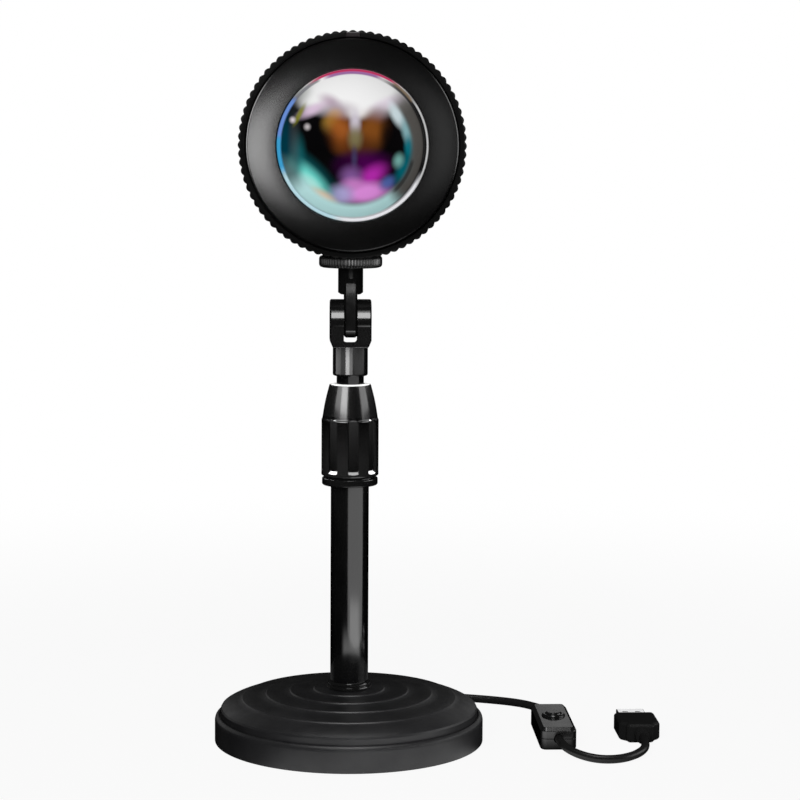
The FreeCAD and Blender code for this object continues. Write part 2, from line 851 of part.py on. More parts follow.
def make_cover_screws():
    high = housing_back + cover_thickness - screw_head_height
    screws = []
    for x, y in screw_places(screw_circle):
        head = disc(screw_head_radius, high, high + screw_head_height - 0.4, x, y)
        slots = block(x, y, 3.4, 0.7, high + 0.6, high + 2)
        slots = slots.fuse(block(x, y, 0.7, 3.4, high + 0.6, high + 2))
        shank = disc(screw_radius, housing_back - screw_length + 1.5, high, x, y)
        screws.append(head.cut(slots).fuse(shank))
    return in_head(Part.makeCompound(screws))


# A moulded strain relief: a collar inside the cover, then a tapering sleeve with grooves.
def make_head_relief():
    high = housing_back + cover_thickness
    inner = high - cover_wall
    points = [(0, inner - 1.6), (relief_radius + 1.2, inner - 1.6), (relief_radius + 1.2, inner),
              (relief_radius, inner), (relief_radius, high + 0.8)]
    step = (relief_length - 0.8) / relief_ribs
    for k in range(relief_ribs):
        start = high + 0.8 + k * step
        radius = relief_radius - (relief_radius - relief_tip_radius) * (k + 1) / relief_ribs
        points += [(radius + 0.3, start + step * 0.62), (radius - 0.4, start + step * 0.72),
                   (radius - 0.4, start + step * 0.95)]
    points += [(0, high + relief_length)]
    relief = in_head(turned(points))
    relief.translate(V(0, 0, -relief_drop))
    return relief


# ---- lead ----

# Straight runs joined by the largest arcs that they allow. Prints the tightest bend.
def soft_path(points, name):
    points = [V(*p) for p in points]
    edges, last, radii = [], points[0], []
    for a, b, c in zip(points, points[1:], points[2:]):
        into, out = b - a, c - b
        turn = into.getAngle(out)
        cut = 0.45 * min(into.Length, out.Length)
        start = b - into.normalize() * cut
        end = b + out.normalize() * cut
        radius = cut / math.tan(turn / 2)
        inward = (end - b).normalize() + (start - b).normalize()
        centre_gap = radius / math.cos(turn / 2) - radius
        edges.append(Part.LineSegment(last, start).toShape())
        edges.append(Part.Arc(start, b + inward.normalize() * centre_gap, end).toShape())
        last = end
        radii.append(radius)
    edges.append(Part.LineSegment(last, points[-1]).toShape())
    print(name, "bends", [round(r, 1) for r in radii])
    return Part.Wire(edges)


def swept(path):
    edge = path.OrderedEdges[0]
    start = edge.valueAt(edge.FirstParameter)
    way = edge.tangentAt(edge.FirstParameter)
    across = way.cross(UP if abs(way.z) < 0.9 else V(1, 0, 0)).normalize()
    up = across.cross(way)
    angles = [(2 * k + 1) * math.pi / cord_sides for k in range(cord_sides)]
    ring = [start + across * (cord_corner * math.cos(a)) + up * (cord_corner * math.sin(a)) for a in angles]
    ring = Part.makePolygon(ring + ring[:1])
    solid = path.makePipeShell([ring], True, False)
    print("  length", round(path.Length, 1), "volume", round(solid.Volume, 1),
          "should be", round(Part.Face(ring).Area * path.Length, 1))
    return solid


relief_end = housing_back + cover_thickness + relief_length
relief_height = head_height - relief_drop
coil_half = coil_straight / 2
coil_in = coil_half - coil_lead_in
coil_out = coil_lead_out - coil_half
coil_inner_near = coil_near + coil_turns * coil_pitch
switch_far = switch_y + switch_length / 2
switch_near = switch_y - switch_length / 2
plug_axis = plug_height / 2 + floor_gap
cord_height = switch_split


# From the head's relief, over and down behind the mast, to the first loop of the coil.
def drop_points():
    points = [(0, relief_end, relief_height)]
    points += [(x, relief_end + y, relief_height + z) for x, y, z in drop_shape]
    points += [(coil_in + x, coil_near, floor_line + z) for x, z in landing_shape]
    return points + [(coil_in, coil_near, floor_line)]


# From the coil's inner loop, up over the loops and round to the switch.
def run_points():
    points = [(coil_out, coil_inner_near, floor_line)]
    points += [(coil_out + x, coil_inner_near + y, floor_line + z) for x, y, z in crossing_shape]
    points += [(switch_x + x, coil_inner_near + y, floor_line + z) for x, y, z in approach_shape]
    return points + [(switch_x, switch_far + switch_rise, floor_line + switch_rise_foot),
                     (switch_x, switch_far + switch_lead, cord_height),
                     (switch_x, switch_far - cord_sink, cord_height)]


# From the switch, round in a bow, to the plug.
def tail_points():
    low = switch_near - bow_lead
    return [
        (switch_x, switch_near + cord_sink, cord_height),
        (switch_x, low, cord_height),
        (switch_x + bow_side, low - bow_deep, floor_line + bow_lift),
        (switch_x + bow_corner, low - bow_corner, floor_line),
        (plug_x - bow_corner, low - bow_corner, floor_line),
        (plug_x - bow_side, low - bow_deep, floor_line + bow_dip),
        (plug_x, low, plug_axis),
        (plug_x, plug_low, plug_axis),
    ]


# The coil lies flat: half loops whose radius falls by half a pitch each, joined by straight runs.
def coil_edges():
    x, y, edges = coil_in, coil_near, []
    side, radius = 1, coil_outer
    near = True
    for k in range(2 * coil_turns):
        end = V(side * coil_half, y, floor_line)
        edges.append(Part.LineSegment(V(x, y, floor_line), end).toShape())
        across = 2 * radius if near else -2 * radius
        tip = V(side * (coil_half + radius), y + across / 2, floor_line)
        x, y = side * coil_half, y + across
        edges.append(Part.Arc(end, tip, V(x, y, floor_line)).toShape())
        side, near, radius = -side, not near, radius - coil_pitch / 2
    edges.append(Part.LineSegment(V(x, y, floor_line), V(coil_out, y, floor_line)).toShape())
    return edges


# The least gap between loops, from points all along the centreline.
def coil_gap(path):
    points = path.discretize(Distance=1.5)
    gap = min((a - b).Length for i, a in enumerate(points) for b in points[i + 8:])
    return gap - cord_diameter


def make_coil():
    path = Part.Wire(coil_edges())
    print("coil least gap", round(coil_gap(path), 2))
    return swept(path)


# ---- inline switch ----

def rounded_block(x, y, width, depth, low, high, corner):
    body = block(x, y, width, depth, low, high)
    upright = [e for e in body.Edges if e.BoundBox.ZLength > (high - low) / 2]
    return body.makeFillet(corner, upright)


def cord_bore(x, radius, low_y, high_y, z):
    return Part.makeCylinder(radius, high_y - low_y, V(x, low_y, z), V(0, 1, 0))


def switch_hollow():
    wall = switch_wall
    room = rounded_block(switch_x, switch_y, switch_width - 2 * wall,
                         switch_length - 2 * (wall + cord_sink), wall, switch_height - wall, 1.2)
    bore = cord_bore(switch_x, cord_corner + running_gap, switch_near - 1, switch_near + cord_sink,
                     cord_height)
    return room.fuse(bore).fuse(cord_bore(switch_x, cord_corner + running_gap,
                                          switch_far - cord_sink, switch_far + 1, cord_height))


def make_switch_bottom():
    body = rounded_block(switch_x, switch_y, switch_width, switch_length, 0, switch_split, switch_corner)
    foot = [e for e in body.Edges if e.BoundBox.ZMax < 1e-6]
    return body.makeChamfer(switch_edge * 0.5, foot).cut(switch_hollow())


def make_switch_top():
    body = rounded_block(switch_x, switch_y, switch_width, switch_length, switch_split, switch_height,
                         switch_corner)
    crown = [e for e in body.Edges if e.BoundBox.ZMin > switch_height - 1e-6]
    body = body.makeChamfer(switch_edge, crown)
    e = 0.5
    bezel = turned([(0, switch_height - 1), (bezel_radius, switch_height - 1), (bezel_radius, switch_height + e),
                    (bezel_radius - e, switch_height + bezel_height), (0, switch_height + bezel_height)])
    bezel.translate(V(switch_x, switch_y, 0))
    body = body.fuse(bezel).cut(switch_hollow())
    return body.cut(disc(button_radius + 0.1, 0, switch_height + 3, switch_x, switch_y))


def make_switch_board():
    return block(switch_x, switch_y, switch_board_width, switch_board_length,
                 switch_wall, switch_wall + 1.0)


def block_top():
    return switch_wall + 1.0 + 3.4


def make_switch_block():
    low = switch_wall + 1.0
    return block(switch_x, switch_y, switch_block, switch_block, low, block_top() - button_travel)


def make_button():
    high = switch_height + button_proud
    low = block_top()
    e = button_edge
    r = button_radius
    cap = turned([(0, low), (button_stem, low), (button_stem, low + 1.0), (r, low + 1.0), (r, high - e),
                  (r - quarter(e), high - quarter(e)), (r - e, high), (0, high - button_dish)])
    cap.translate(V(switch_x, switch_y, 0))
    return cap


# ---- USB plug ----

plug_body_low = plug_low + relief_plug_length
plug_neck_high = plug_body_low + plug_neck_length
plug_wide = plug_neck_high + plug_taper
plug_high = plug_wide + plug_length


def make_plug_relief():
    points, r = [(0, 0)], 2.9
    step = relief_plug_length / 3
    for k in range(3):
        points += [(r, k * step), (r, k * step + step * 0.68), (r - 0.8, k * step + step * 0.7),
                   (r - 0.8, (k + 1) * step)]
    points.append((0, relief_plug_length))
    relief = turned(points)
    relief.rotate(CENTRE, V(1, 0, 0), -90)
    relief.translate(V(plug_x, plug_low, plug_axis))
    return relief


# The moulded body, drawn from above and rounded along its long edges.
def make_plug_body():
    neck, wide = plug_neck_width / 2, plug_width / 2
    points = [V(plug_x + x, y, floor_gap) for x, y in [
        (-neck, plug_body_low), (neck, plug_body_low), (neck, plug_neck_high), (wide, plug_wide),
        (wide, plug_high), (-wide, plug_high), (-wide, plug_wide), (-neck, plug_neck_high)]]
    body = Part.Face(Part.makePolygon(points + points[:1])).extrude(V(0, 0, plug_height))
    upright = [e for e in body.Edges if e.BoundBox.ZLength > 1 and e.BoundBox.YMin > plug_high - 1e-6
               or e.BoundBox.ZLength > 1 and e.BoundBox.YMax < plug_body_low + 1e-6]
    body = body.makeChamfer(plug_corner * 0.7, upright)
    flat = [e for e in body.Edges if e.BoundBox.ZLength < 1e-6]
    body = body.makeChamfer(plug_corner * 0.6, flat)
    return body.cut(usb_box(0, plug_high - usb_sink))


def usb_box(inset, start):
    return block(plug_x, (start + plug_high + usb_length) / 2, usb_width - 2 * inset,
                 plug_high + usb_length - start, plug_axis - usb_height / 2 + inset,
                 plug_axis + usb_height / 2 - inset)


def make_usb_shell():
    start = plug_high - usb_sink + press_gap
    body = usb_box(press_gap, start)
    along = [e for e in body.Edges if e.BoundBox.YLength > 5]
    body = body.makeChamfer(0.35, along)
    hollow = usb_box(usb_wall, start + 0.5)
    hollow.translate(V(0, 1.0, 0))
    body = body.cut(hollow)
    for side in (-1, 1):
        body = body.cut(block(plug_x + side * usb_window_pitch / 2, plug_high + usb_window_set + usb_window / 2,
                              usb_window, usb_window, plug_axis - usb_height, plug_axis + usb_height))
    return body


def tongue_low():
    return plug_axis - usb_height / 2 + usb_wall + 0.02


def make_usb_tongue():
    start = plug_high - 1
    return block(plug_x, (start + plug_high + usb_length - 0.6) / 2, usb_width - 2 * usb_wall - 0.2,
                 plug_high + usb_length - 0.6 - start, tongue_low(), tongue_low() + usb_tongue_height)


def make_usb_contacts():
    pitch = usb_contact_row / (usb_contacts - 1)
    low = tongue_low() + usb_tongue_height
    pins = [block(plug_x - pitch * (usb_contacts - 1) / 2 + k * pitch, plug_high + usb_length / 2,
                  usb_contact_width, usb_length - 3, low, low + 0.2) for k in range(usb_contacts)]
    return Part.makeCompound(pins)


os.makedirs("parts", exist_ok=True)
save("base_pad", disc(pad_radius, 0, pad_thickness))
save("base_weight", make_base_weight())
save("base_dome", make_base_dome())
save("base_bolt", make_base_bolt())
save("base_washer", make_base_washer())
save("pole_foot_ring", make_foot_ring())
save("pole_foot_plug", make_foot_plug())
save("outer_pole", make_pole())
save("collet", make_collet())
save("grip_collar", make_collar())
save("rod_guide_bush", make_bush())
save("inner_rod", make_rod())
save("rod_fork", make_fork())
save("pivot_screw", make_pivot_screw())
save("pivot_nut", make_pivot_nut())
save("tilt_tongue", make_tongue())
save("mount_stud", make_stud())
save("lock_nut", make_lock_nut())
save("head_insert", make_insert())
save("head_housing", make_housing())
save("knurled_ring", make_knurled_ring())
save("ir_window", make_ir_window())
save("face_plate", make_face_plate())
save("lens", make_lens())
save("lens_gasket", make_gasket())
save("filter_disc", make_filter())
save("light_cone", make_light_cone())
save("led_emitter", make_emitter())
save("led_board", make_led_board())
save("led_board_screws", make_board_screws())
save("heat_sink", make_heat_sink())
save("control_board", make_control_board())
save("ir_receiver", make_receiver())
save("rear_cover", make_rear_cover())
save("cover_screws", make_cover_screws())
save("head_strain_relief", make_head_relief())
save("cord_drop", swept(soft_path(drop_points(), "drop")))
save("cord_coil", make_coil())
save("cord_run", swept(soft_path(run_points(), "run")))
save("cord_tail", swept(soft_path(tail_points(), "tail")))
save("switch_bottom_shell", make_switch_bottom())
save("switch_top_shell", make_switch_top())
save("switch_board", make_switch_board())
save("switch_block", make_switch_block())
save("switch_button", make_button())
save("plug_strain_relief", make_plug_relief())
save("plug_body", make_plug_body())
save("usb_shell", make_usb_shell())
save("usb_tongue", make_usb_tongue())
save("usb_contacts", make_usb_contacts())
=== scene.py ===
import math

import bmesh
import bpy
from mathutils import Matrix, Vector


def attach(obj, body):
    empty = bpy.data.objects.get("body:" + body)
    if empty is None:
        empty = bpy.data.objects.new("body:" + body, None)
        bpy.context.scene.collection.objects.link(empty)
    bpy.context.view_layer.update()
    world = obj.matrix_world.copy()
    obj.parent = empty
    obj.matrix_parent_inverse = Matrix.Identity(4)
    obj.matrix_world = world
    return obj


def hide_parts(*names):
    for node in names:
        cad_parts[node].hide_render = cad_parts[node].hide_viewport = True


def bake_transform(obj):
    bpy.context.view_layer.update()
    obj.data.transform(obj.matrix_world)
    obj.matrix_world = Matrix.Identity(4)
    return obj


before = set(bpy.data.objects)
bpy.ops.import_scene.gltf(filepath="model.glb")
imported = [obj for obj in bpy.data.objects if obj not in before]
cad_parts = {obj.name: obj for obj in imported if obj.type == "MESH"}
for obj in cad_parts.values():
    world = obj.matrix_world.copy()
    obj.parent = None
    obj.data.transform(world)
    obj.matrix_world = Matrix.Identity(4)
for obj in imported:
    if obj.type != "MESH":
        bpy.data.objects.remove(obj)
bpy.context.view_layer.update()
print("frame loaded", len(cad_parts), "nodes")

mm = 0.001
headHeight = 0.2505
footHeight = 0.0223    # top of the dome, where the mast starts


def newObject(name, data):
    thing = bpy.data.objects.new(name, data)
    bpy.context.scene.collection.objects.link(thing)
    return thing


view = {
    "place": (-0.02098, -0.96075, 0.25259),
    "turn": -2.489,      # degrees from straight along +Y
    "dip": 5.426,
    "roll": 0.333,
    "lens": 103.93,
    "shiftUp": -0.05,
}


def makeCamera(values):
    turn, dip, roll = (math.radians(values[k]) for k in ("turn", "dip", "roll"))
    back = Vector((math.sin(turn), -math.cos(turn), 0))
    right = Vector((math.cos(turn), math.sin(turn), 0))
    look = -back * math.cos(dip) - Vector((0, 0, 1)) * math.sin(dip)
    up = Vector((0, 0, 1)) * math.cos(dip) - back * math.sin(dip)
    across = right * math.cos(roll) + up * math.sin(roll)
    above = up * math.cos(roll) - right * math.sin(roll)
    data = bpy.data.cameras.new("camera")
    data.lens = values["lens"]
    data.sensor_width = 36
    data.shift_y = values["shiftUp"]
    data.clip_end = 50
    camera = newObject("camera", data)
    camera.matrix_world = Matrix.Translation(values["place"]) @ Matrix((across, above, -look)).transposed().to_4x4()
    bpy.context.scene.camera = camera


makeCamera(view)


def newMaterial(name):
    material = bpy.data.materials.new(name)
    material.use_nodes = True
    tree = material.node_tree
    return material, tree, tree.nodes["Principled BSDF"]


# Links or sets a node's inputs, whichever each value is for.
def feed(tree, node, inputs):
    for key, value in inputs.items():
        if isinstance(value, bpy.types.NodeSocket):
            tree.links.new(value, node.inputs[key])
        elif value is not None:
            node.inputs[key].default_value = value


def newNode(tree, kind, inputs, **settings):
    node = tree.nodes.new("ShaderNode" + kind)
    for key, value in settings.items():
        setattr(node, key, value)
    feed(tree, node, inputs)
    return node


# A colour given as one number is a grey.
def shade(value):
    if isinstance(value, bpy.types.NodeSocket):
        return value
    return (*value, 1) if isinstance(value, tuple) else (value, value, value, 1)


def noiseNode(tree, scale, detail=3.0, stretch=(1, 1, 1)):
    place = newNode(tree, "TexCoord", {})
    mapping = newNode(tree, "Mapping", {"Vector": place.outputs["Object"], "Scale": stretch})
    return newNode(tree, "TexNoise", {"Vector": mapping.outputs["Vector"], "Scale": scale, "Detail": detail})


def ranged(tree, source, low, high, fromLow=0.3, fromHigh=0.7, **settings):
    return newNode(tree, "MapRange", {"Value": source, "From Min": fromLow, "From Max": fromHigh, "To Min": low,
                                      "To Max": high}, **settings).outputs["Result"]


def smoothRange(tree, source, fromLow, fromHigh, low, high):
    return ranged(tree, source, low, high, fromLow, fromHigh, interpolation_type="SMOOTHSTEP")


def blended(tree, factor, first, second):
    return newNode(tree, "Mix", {0: factor, 6: shade(first), 7: shade(second)}, data_type="RGBA").outputs[2]


def vectorMath(tree, operation, first, second=None):
    return newNode(tree, "VectorMath", {0: first, 1: second}, operation=operation)


def valueMath(tree, operation, first, second):
    return newNode(tree, "Math", {0: first, 1: second}, operation=operation).outputs[0]


# A moulded, painted or plated surface: two close colours, uneven gloss and a fine grain.
def surface(name, values):
    material, tree, shader = newMaterial(name)
    patches = noiseNode(tree, values.get("patch", 60), 4)
    smudge = noiseNode(tree, values.get("smudge", 140), 5)
    grain = noiseNode(tree, values.get("grain", 2500), values.get("grainDetail", 2), values.get("stretch", (1, 1, 1)))
    bump = newNode(tree, "Bump", {"Strength": values.get("grainStrength", 0.3), "Height": grain.outputs["Fac"],
                                  "Distance": values.get("grainDepth", 0.00002)})
    rough, spread = values["rough"], values.get("roughSpread", 0.06)
    mix = ranged(tree, patches.outputs["Fac"], 0, 1)
    feed(tree, shader, {
        "Base Color": blended(tree, mix, values["colour"], values["second"]),
        "Roughness": ranged(tree, smudge.outputs["Fac"], rough - spread, rough + spread),
        "Normal": bump.outputs["Normal"],
        "Metallic": values.get("metal", 0),
        "Specular IOR Level": values.get("gloss", 0.5),
        "Coat Weight": values.get("coat", 0),
        "Coat Roughness": values.get("coatRough", 0.1)})
    return material


black = {
    "base": surface("satinBasePlastic", {
        "colour": (0.0065, 0.0065, 0.007), "second": (0.011, 0.011, 0.0115), "rough": 0.4, "gloss": 0.6,
        "grain": 2600, "grainStrength": 0.75, "grainDepth": 0.00004}),
    "tube": surface("glossTubeCoat", {
        "colour": (0.003, 0.003, 0.0033), "second": 0.005, "rough": 0.16, "gloss": 1.0, "roughSpread": 0.03,
        "grain": 900, "grainStrength": 0.1, "grainDepth": 0.00001, "coat": 1.0, "coatRough": 0.12}),
    "fork": surface("forkPlastic", {
        "colour": 0.006, "second": 0.01, "rough": 0.15, "gloss": 0.9, "roughSpread": 0.015,
        "grain": 2000, "grainStrength": 0.15, "grainDepth": 0.00001, "coat": 1.0, "coatRough": 0.1}),
    "tongue": surface("tonguePlastic", {
        "colour": 0.005, "second": 0.008, "rough": 0.15, "gloss": 0.35, "roughSpread": 0.05,
        "grain": 2000, "grainStrength": 0.3, "grainDepth": 0.000012}),
    "nut": surface("nutPlastic", {
        "colour": 0.008, "second": 0.016, "rough": 0.34, "gloss": 0.9,
        "grain": 1800, "grainStrength": 0.3, "coat": 0.6, "coatRough": 0.25}),
    "head": surface("headPlastic", {
        "colour": 0.004, "second": 0.007, "rough": 0.45, "gloss": 0.25,
        "grain": 2600, "grainStrength": 0.5, "grainDepth": 0.00003}),
    "face": surface("faceCoat", {
        "colour": 0.0028, "second": 0.0045, "rough": 0.22, "gloss": 0.8, "roughSpread": 0.006,
        "grain": 3600, "grainStrength": 0.9, "grainDepth": 0.00004, "grainDetail": 4}),
    "cord": surface("cordJacket", {
        "colour": 0.008, "second": 0.014, "rough": 0.33, "gloss": 0.8,
        "grain": 1400, "grainStrength": 0.25}),
    "switch": surface("switchPlastic", {
        "colour": 0.006, "second": 0.009, "rough": 0.2, "gloss": 0.9, "roughSpread": 0.04,
        "grain": 1600, "grainStrength": 0.15, "grainDepth": 0.00001, "coat": 1.0, "coatRough": 0.1}),
    "plug": surface("plugPlastic", {
        "colour": 0.009, "second": 0.014, "rough": 0.48, "gloss": 0.35,
        "grain": 2600, "grainStrength": 0.6, "grainDepth": 0.00003}),
    "rubber": surface("softRubber", {
        "colour": 0.01, "second": 0.017, "rough": 0.55, "gloss": 0.3,
        "grain": 2200, "grainStrength": 0.5}),
    "foam": surface("foamPad", {
        "colour": 0.015, "second": 0.03, "rough": 0.85, "gloss": 0.2,
        "grain": 1500, "grainStrength": 0.9, "grainDepth": 0.0001}),
    "screw": surface("blackScrew", {
        "colour": 0.012, "second": 0.03, "rough": 0.35, "metal": 0.6,
        "grain": 2200, "grainStrength": 0.3}),
}
plain = {
    "steel": surface("platedSteel", {
        "colour": 0.5, "second": (0.62, 0.62, 0.6), "rough": 0.28, "metal": 1,
        "grain": 1200, "grainStrength": 0.2, "stretch": (1, 1, 0.1)}),
    "iron": surface("castIron", {
        "colour": 0.09, "second": (0.16, 0.155, 0.15), "rough": 0.7, "metal": 0.8,
        "grain": 700, "grainStrength": 0.9, "grainDepth": 0.0002}),
    "nylon": surface("naturalNylon", {
        "colour": (0.75, 0.74, 0.7), "second": (0.82, 0.81, 0.78), "rough": 0.4, "grain": 1500}),
    "highlightRing": surface("paleHighlightRing", {
        "colour": (0.8, 0.8, 0.79), "second": (0.88, 0.88, 0.87), "rough": 0.55, "gloss": 0.3, "roughSpread": 0.04,
        "grain": 1800, "grainStrength": 0.2, "grainDepth": 0.00001}),
    "brass": surface("turnedBrass", {
        "colour": (0.62, 0.42, 0.14), "second": (0.72, 0.52, 0.2), "rough": 0.25, "metal": 1,
        "grain": 1500, "stretch": (0.1, 0.1, 1)}),
    "gold": surface("goldContact", {
        "colour": (0.83, 0.6, 0.22), "second": (0.9, 0.68, 0.3), "rough": 0.2, "metal": 1, "grain": 2000}),
    "aluminium": surface("sinkAluminium", {
        "colour": (0.6, 0.6, 0.61), "second": 0.7, "rough": 0.35, "metal": 1,
        "grain": 1500, "stretch": (1, 0.06, 1)}),
    "board": surface("boardMask", {
        "colour": (0.02, 0.16, 0.06), "second": (0.03, 0.2, 0.08), "rough": 0.35, "coat": 0.5, "grain": 900}),
    "whiteBoard": surface("whiteBoardMask", {
        "colour": 0.78, "second": (0.84, 0.84, 0.83), "rough": 0.4, "grain": 900}),
    "phosphor": surface("phosphorGel", {
        "colour": (0.85, 0.7, 0.12), "second": (0.9, 0.78, 0.2), "rough": 0.3, "coat": 1, "grain": 900}),
    "window": surface("receiverWindow", {
        "colour": (0.02, 0.018, 0.02), "second": (0.035, 0.03, 0.032), "rough": 0.22, "gloss": 0.6,
        "grain": 900, "grainStrength": 0.15}),
    "usb": surface("platedShell", {
        "colour": (0.86, 0.86, 0.87), "second": 0.92, "rough": 0.2, "metal": 1, "roughSpread": 0.05,
        "grain": 1800, "grainStrength": 0.12, "stretch": (1, 0.05, 1)}),
    "filter": surface("filterGlass", {
        "colour": (0.3, 0.12, 0.05), "second": (0.25, 0.05, 0.2), "rough": 0.08, "coat": 1, "patch": 25}),
}


# The collar's plastic: painted shade and painted light from a value the mesh carries, blended from the dark colour to
# the lit one.
def paintedLightPlastic(name, values):
    material, tree, shader = newMaterial(name)
    paintedLight = newNode(tree, "Attribute", {}, attribute_name="paintedShade")
    patches = noiseNode(tree, values["patch"], 4)
    smudge = noiseNode(tree, values["smudge"], 5)
    amount = valueMath(tree, "MULTIPLY", paintedLight.outputs["Fac"], ranged(tree, patches.outputs["Fac"], 0.9, 1.1))
    rough, spread = values["rough"], values["roughSpread"]
    feed(tree, shader, {
        "Base Color": blended(tree, amount, values["deep"], values["paintedLight"]),
        "Roughness": ranged(tree, smudge.outputs["Fac"], rough - spread, rough + spread),
        "Specular IOR Level": values["gloss"],
        "Coat Weight": values["coat"],
        "Coat Roughness": values["coatRough"]})
    return material


black["collar"] = paintedLightPlastic("collarPlastic", {
    "deep": 0.0015, "paintedLight": 0.038, "rough": 0.2, "roughSpread": 0.02, "gloss": 0.9, "patch": 90, "smudge": 160,
    "coat": 0.8, "coatRough": 0.12})
print("materials made")


def tidyMesh(bm):
    bmesh.ops.remove_doubles(bm, verts=bm.verts, dist=0.000002)
    bmesh.ops.recalc_face_normals(bm, faces=bm.faces)


def finishPiece(name, bm, material, body, smoothAngle=32):
    mesh = bpy.data.meshes.new(name)
    bm.to_mesh(mesh)
    bm.free()
    mesh.materials.append(material)
    mesh.shade_smooth()
    mesh.set_sharp_from_angle(angle=math.radians(smoothAngle))
    piece = newObject(name, mesh)
    if body:
        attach(piece, body)
    return piece


def bevelEdges(bm, edges, width, segments):
    bmesh.ops.bevel(bm, geom=edges, offset=width * mm, offset_type="OFFSET", affect="EDGES", segments=segments,
                    profile=0.5, material=-1, clamp_overlap=True)


# Rounds the edges that are sharper than the given angle and that "keep" lets through.
def roundEdges(bm, width, degrees=25, segments=3, keep=None):
    limit = math.radians(degrees)
    bevelEdges(bm, [e for e in bm.edges if len(e.link_faces) == 2 and e.calc_face_angle(0) > limit
                    and (keep is None or keep(e))], width, segments)


# Lets through the edges between two radii about the Z axis and two heights, in mm.
def within(radii, heights=(-999, 999)):
    return lambda e: all(radii[0] * mm < p.co.xy.length < radii[1] * mm
                         and heights[0] * mm < p.co.z < heights[1] * mm for p in e.verts)


def addBox(bm, size, place):
    verts = bmesh.ops.create_cube(bm, size=1)["verts"]
    bmesh.ops.scale(bm, verts=verts, vec=Vector(size) * mm)
    bmesh.ops.translate(bm, verts=verts, vec=Vector(place) * mm)


# A turned shape about the Z axis. The profile is a list of (radius, height) in mm.
def turnedShape(profile, steps=192, closed=True):
    bm = bmesh.new()
    line = [bm.verts.new((r * mm, 0, h * mm)) for r, h in profile]
    pairs = list(zip(line, line[1:])) + ([(line[-1], line[0])] if closed else [])
    edges = [bm.edges.new(p) for p in pairs]
    bmesh.ops.spin(bm, geom=line + edges, cent=(0, 0, 0), axis=(0, 0, 1), angle=2 * math.pi, steps=steps,
                   use_merge=True)
    tidyMesh(bm)
    return bm


# Lays a shape turned about Z along the head's axis, its heights becoming depths behind the lens.
def layInHead(bm):
    bmesh.ops.rotate(bm, verts=bm.verts, cent=(0, 0, 0), matrix=Matrix.Rotation(-math.pi / 2, 3, "X"))
    bmesh.ops.translate(bm, verts=bm.verts, vec=(0, 0, headHeight))


# A copy of a CAD node's mesh with its doubles merged and flat faces joined, ready for rounded edges.
def fromNode(node, flat=1.0):
    bm = bmesh.new()
    bm.from_mesh(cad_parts[node].data)
    bmesh.ops.remove_doubles(bm, verts=bm.verts, dist=0.000004)
    bmesh.ops.dissolve_limit(bm, angle_limit=math.radians(flat), verts=bm.verts, edges=bm.edges,
                             delimit={"SEAM"})
    return bm


def dressNode(node, name, material, body, slot, width, degrees=25, segments=2, keep=None, smoothAngle=32):
    bm = fromNode(node)
    if width:
        roundEdges(bm, width, degrees, segments, keep)
    piece = finishPiece(name, bm, material, body, smoothAngle)
    normals = piece.modifiers.new("flatsFlat", "WEIGHTED_NORMAL")
    normals.keep_sharp = True
    normals.weight = 60
    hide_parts(node)
    return piece


# Cuts closed shapes out of a piece, one after the other.
def cutAway(piece, cutters, smoothAngle=40):
    boxes = []
    for shape in cutters:
        bmesh.ops.recalc_face_normals(shape, faces=shape.faces)
        mesh = bpy.data.meshes.new("cutter")
        shape.to_mesh(mesh)
        shape.free()
        box = newObject("cutter", mesh)
        cut = piece.modifiers.new("cut", "BOOLEAN")
        cut.object = box
        cut.operation = "DIFFERENCE"
        cut.solver = "EXACT"
        boxes.append(box)
    bpy.context.view_layer.update()
    done = bpy.data.meshes.new_from_object(piece.evaluated_get(bpy.context.evaluated_depsgraph_get()))
    piece.modifiers.clear()
    piece.data = done
    for box in boxes:
        bpy.data.objects.remove(box)
    done.shade_smooth()
    done.set_sharp_from_angle(angle=math.radians(smoothAngle))


def paint(node, material):
    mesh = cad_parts[node].data
    mesh.materials.clear()
    mesh.materials.append(material)


lead = {
    "radius": 1.75,
    "floor": 1.8,
    "drop": [
        (0, 38.5, 218.6), (0.1, 49, 218.5), (0.6, 58.2, 213.2), (1.2, 63.7, 203.7), (0.4, 65.2, 186.6),
        (8.0, 64.6, 162.6), (4.6, 63.2, 140.6), (1.5, 61.8, 113.1), (2.8, 61.2, 81.1), (-0.6, 60.9, 55.1),
        (-2.2, 60.7, 36.1), (-2.6, 60.5, 22.5), (-2.3, 60.5, 13.4), (-0.1, 60.5, 8.1), (3.9, 60.5, 4.0),
        (9.25, 60.5, 1.8), (15, 60.5, 1.8)],
    "run": [
        (-12, 71.75, 1.8), (-1, 71.75, 2.5), (15, 70.75, 6.0), (31, 66.85, 6.0), (47, 63.15, 2.2),
        (65, 59.25, 1.8), (78, 52.75, 1.8), (84.8, 43.75, 2.0), (87, 36.5, 2.7), (87, 27.5, 4.8),
        (87, 17.5, 4.8)],
    "tail": [
        (87, -17.5, 4.8), (87, -29.5, 4.8), (91.8, -37.9, 3.1), (100.2, -42.7, 1.8), (109.8, -42.7, 1.8),
        (118.2, -37.9, 2.7), (123, -29.5, 4.05), (123, -17, 4.05)],
    "loops": [13, 11.125, 9.25, 7.375, 5.5, 3.625],    # radius of each half loop, from outside in
    "nearRun": 60.5,
    "tieRoom": 0.5,
    "loopEnd": 16,
}


def leadCurve(name, points, radius):
    data = bpy.data.curves.new(name, "CURVE")
    data.dimensions = "3D"
    data.resolution_u = 10
    data.bevel_depth = radius * mm
    data.bevel_resolution = 6
    spline = data.splines.new("NURBS")
    spline.points.add(len(points) - 1)
    for point, (x, y, z) in zip(spline.points, points):
        point.co = (x * mm, y * mm, z * mm, 1)
    spline.order_u = 3
    spline.use_endpoint_u = True
    return newObject(name, data)


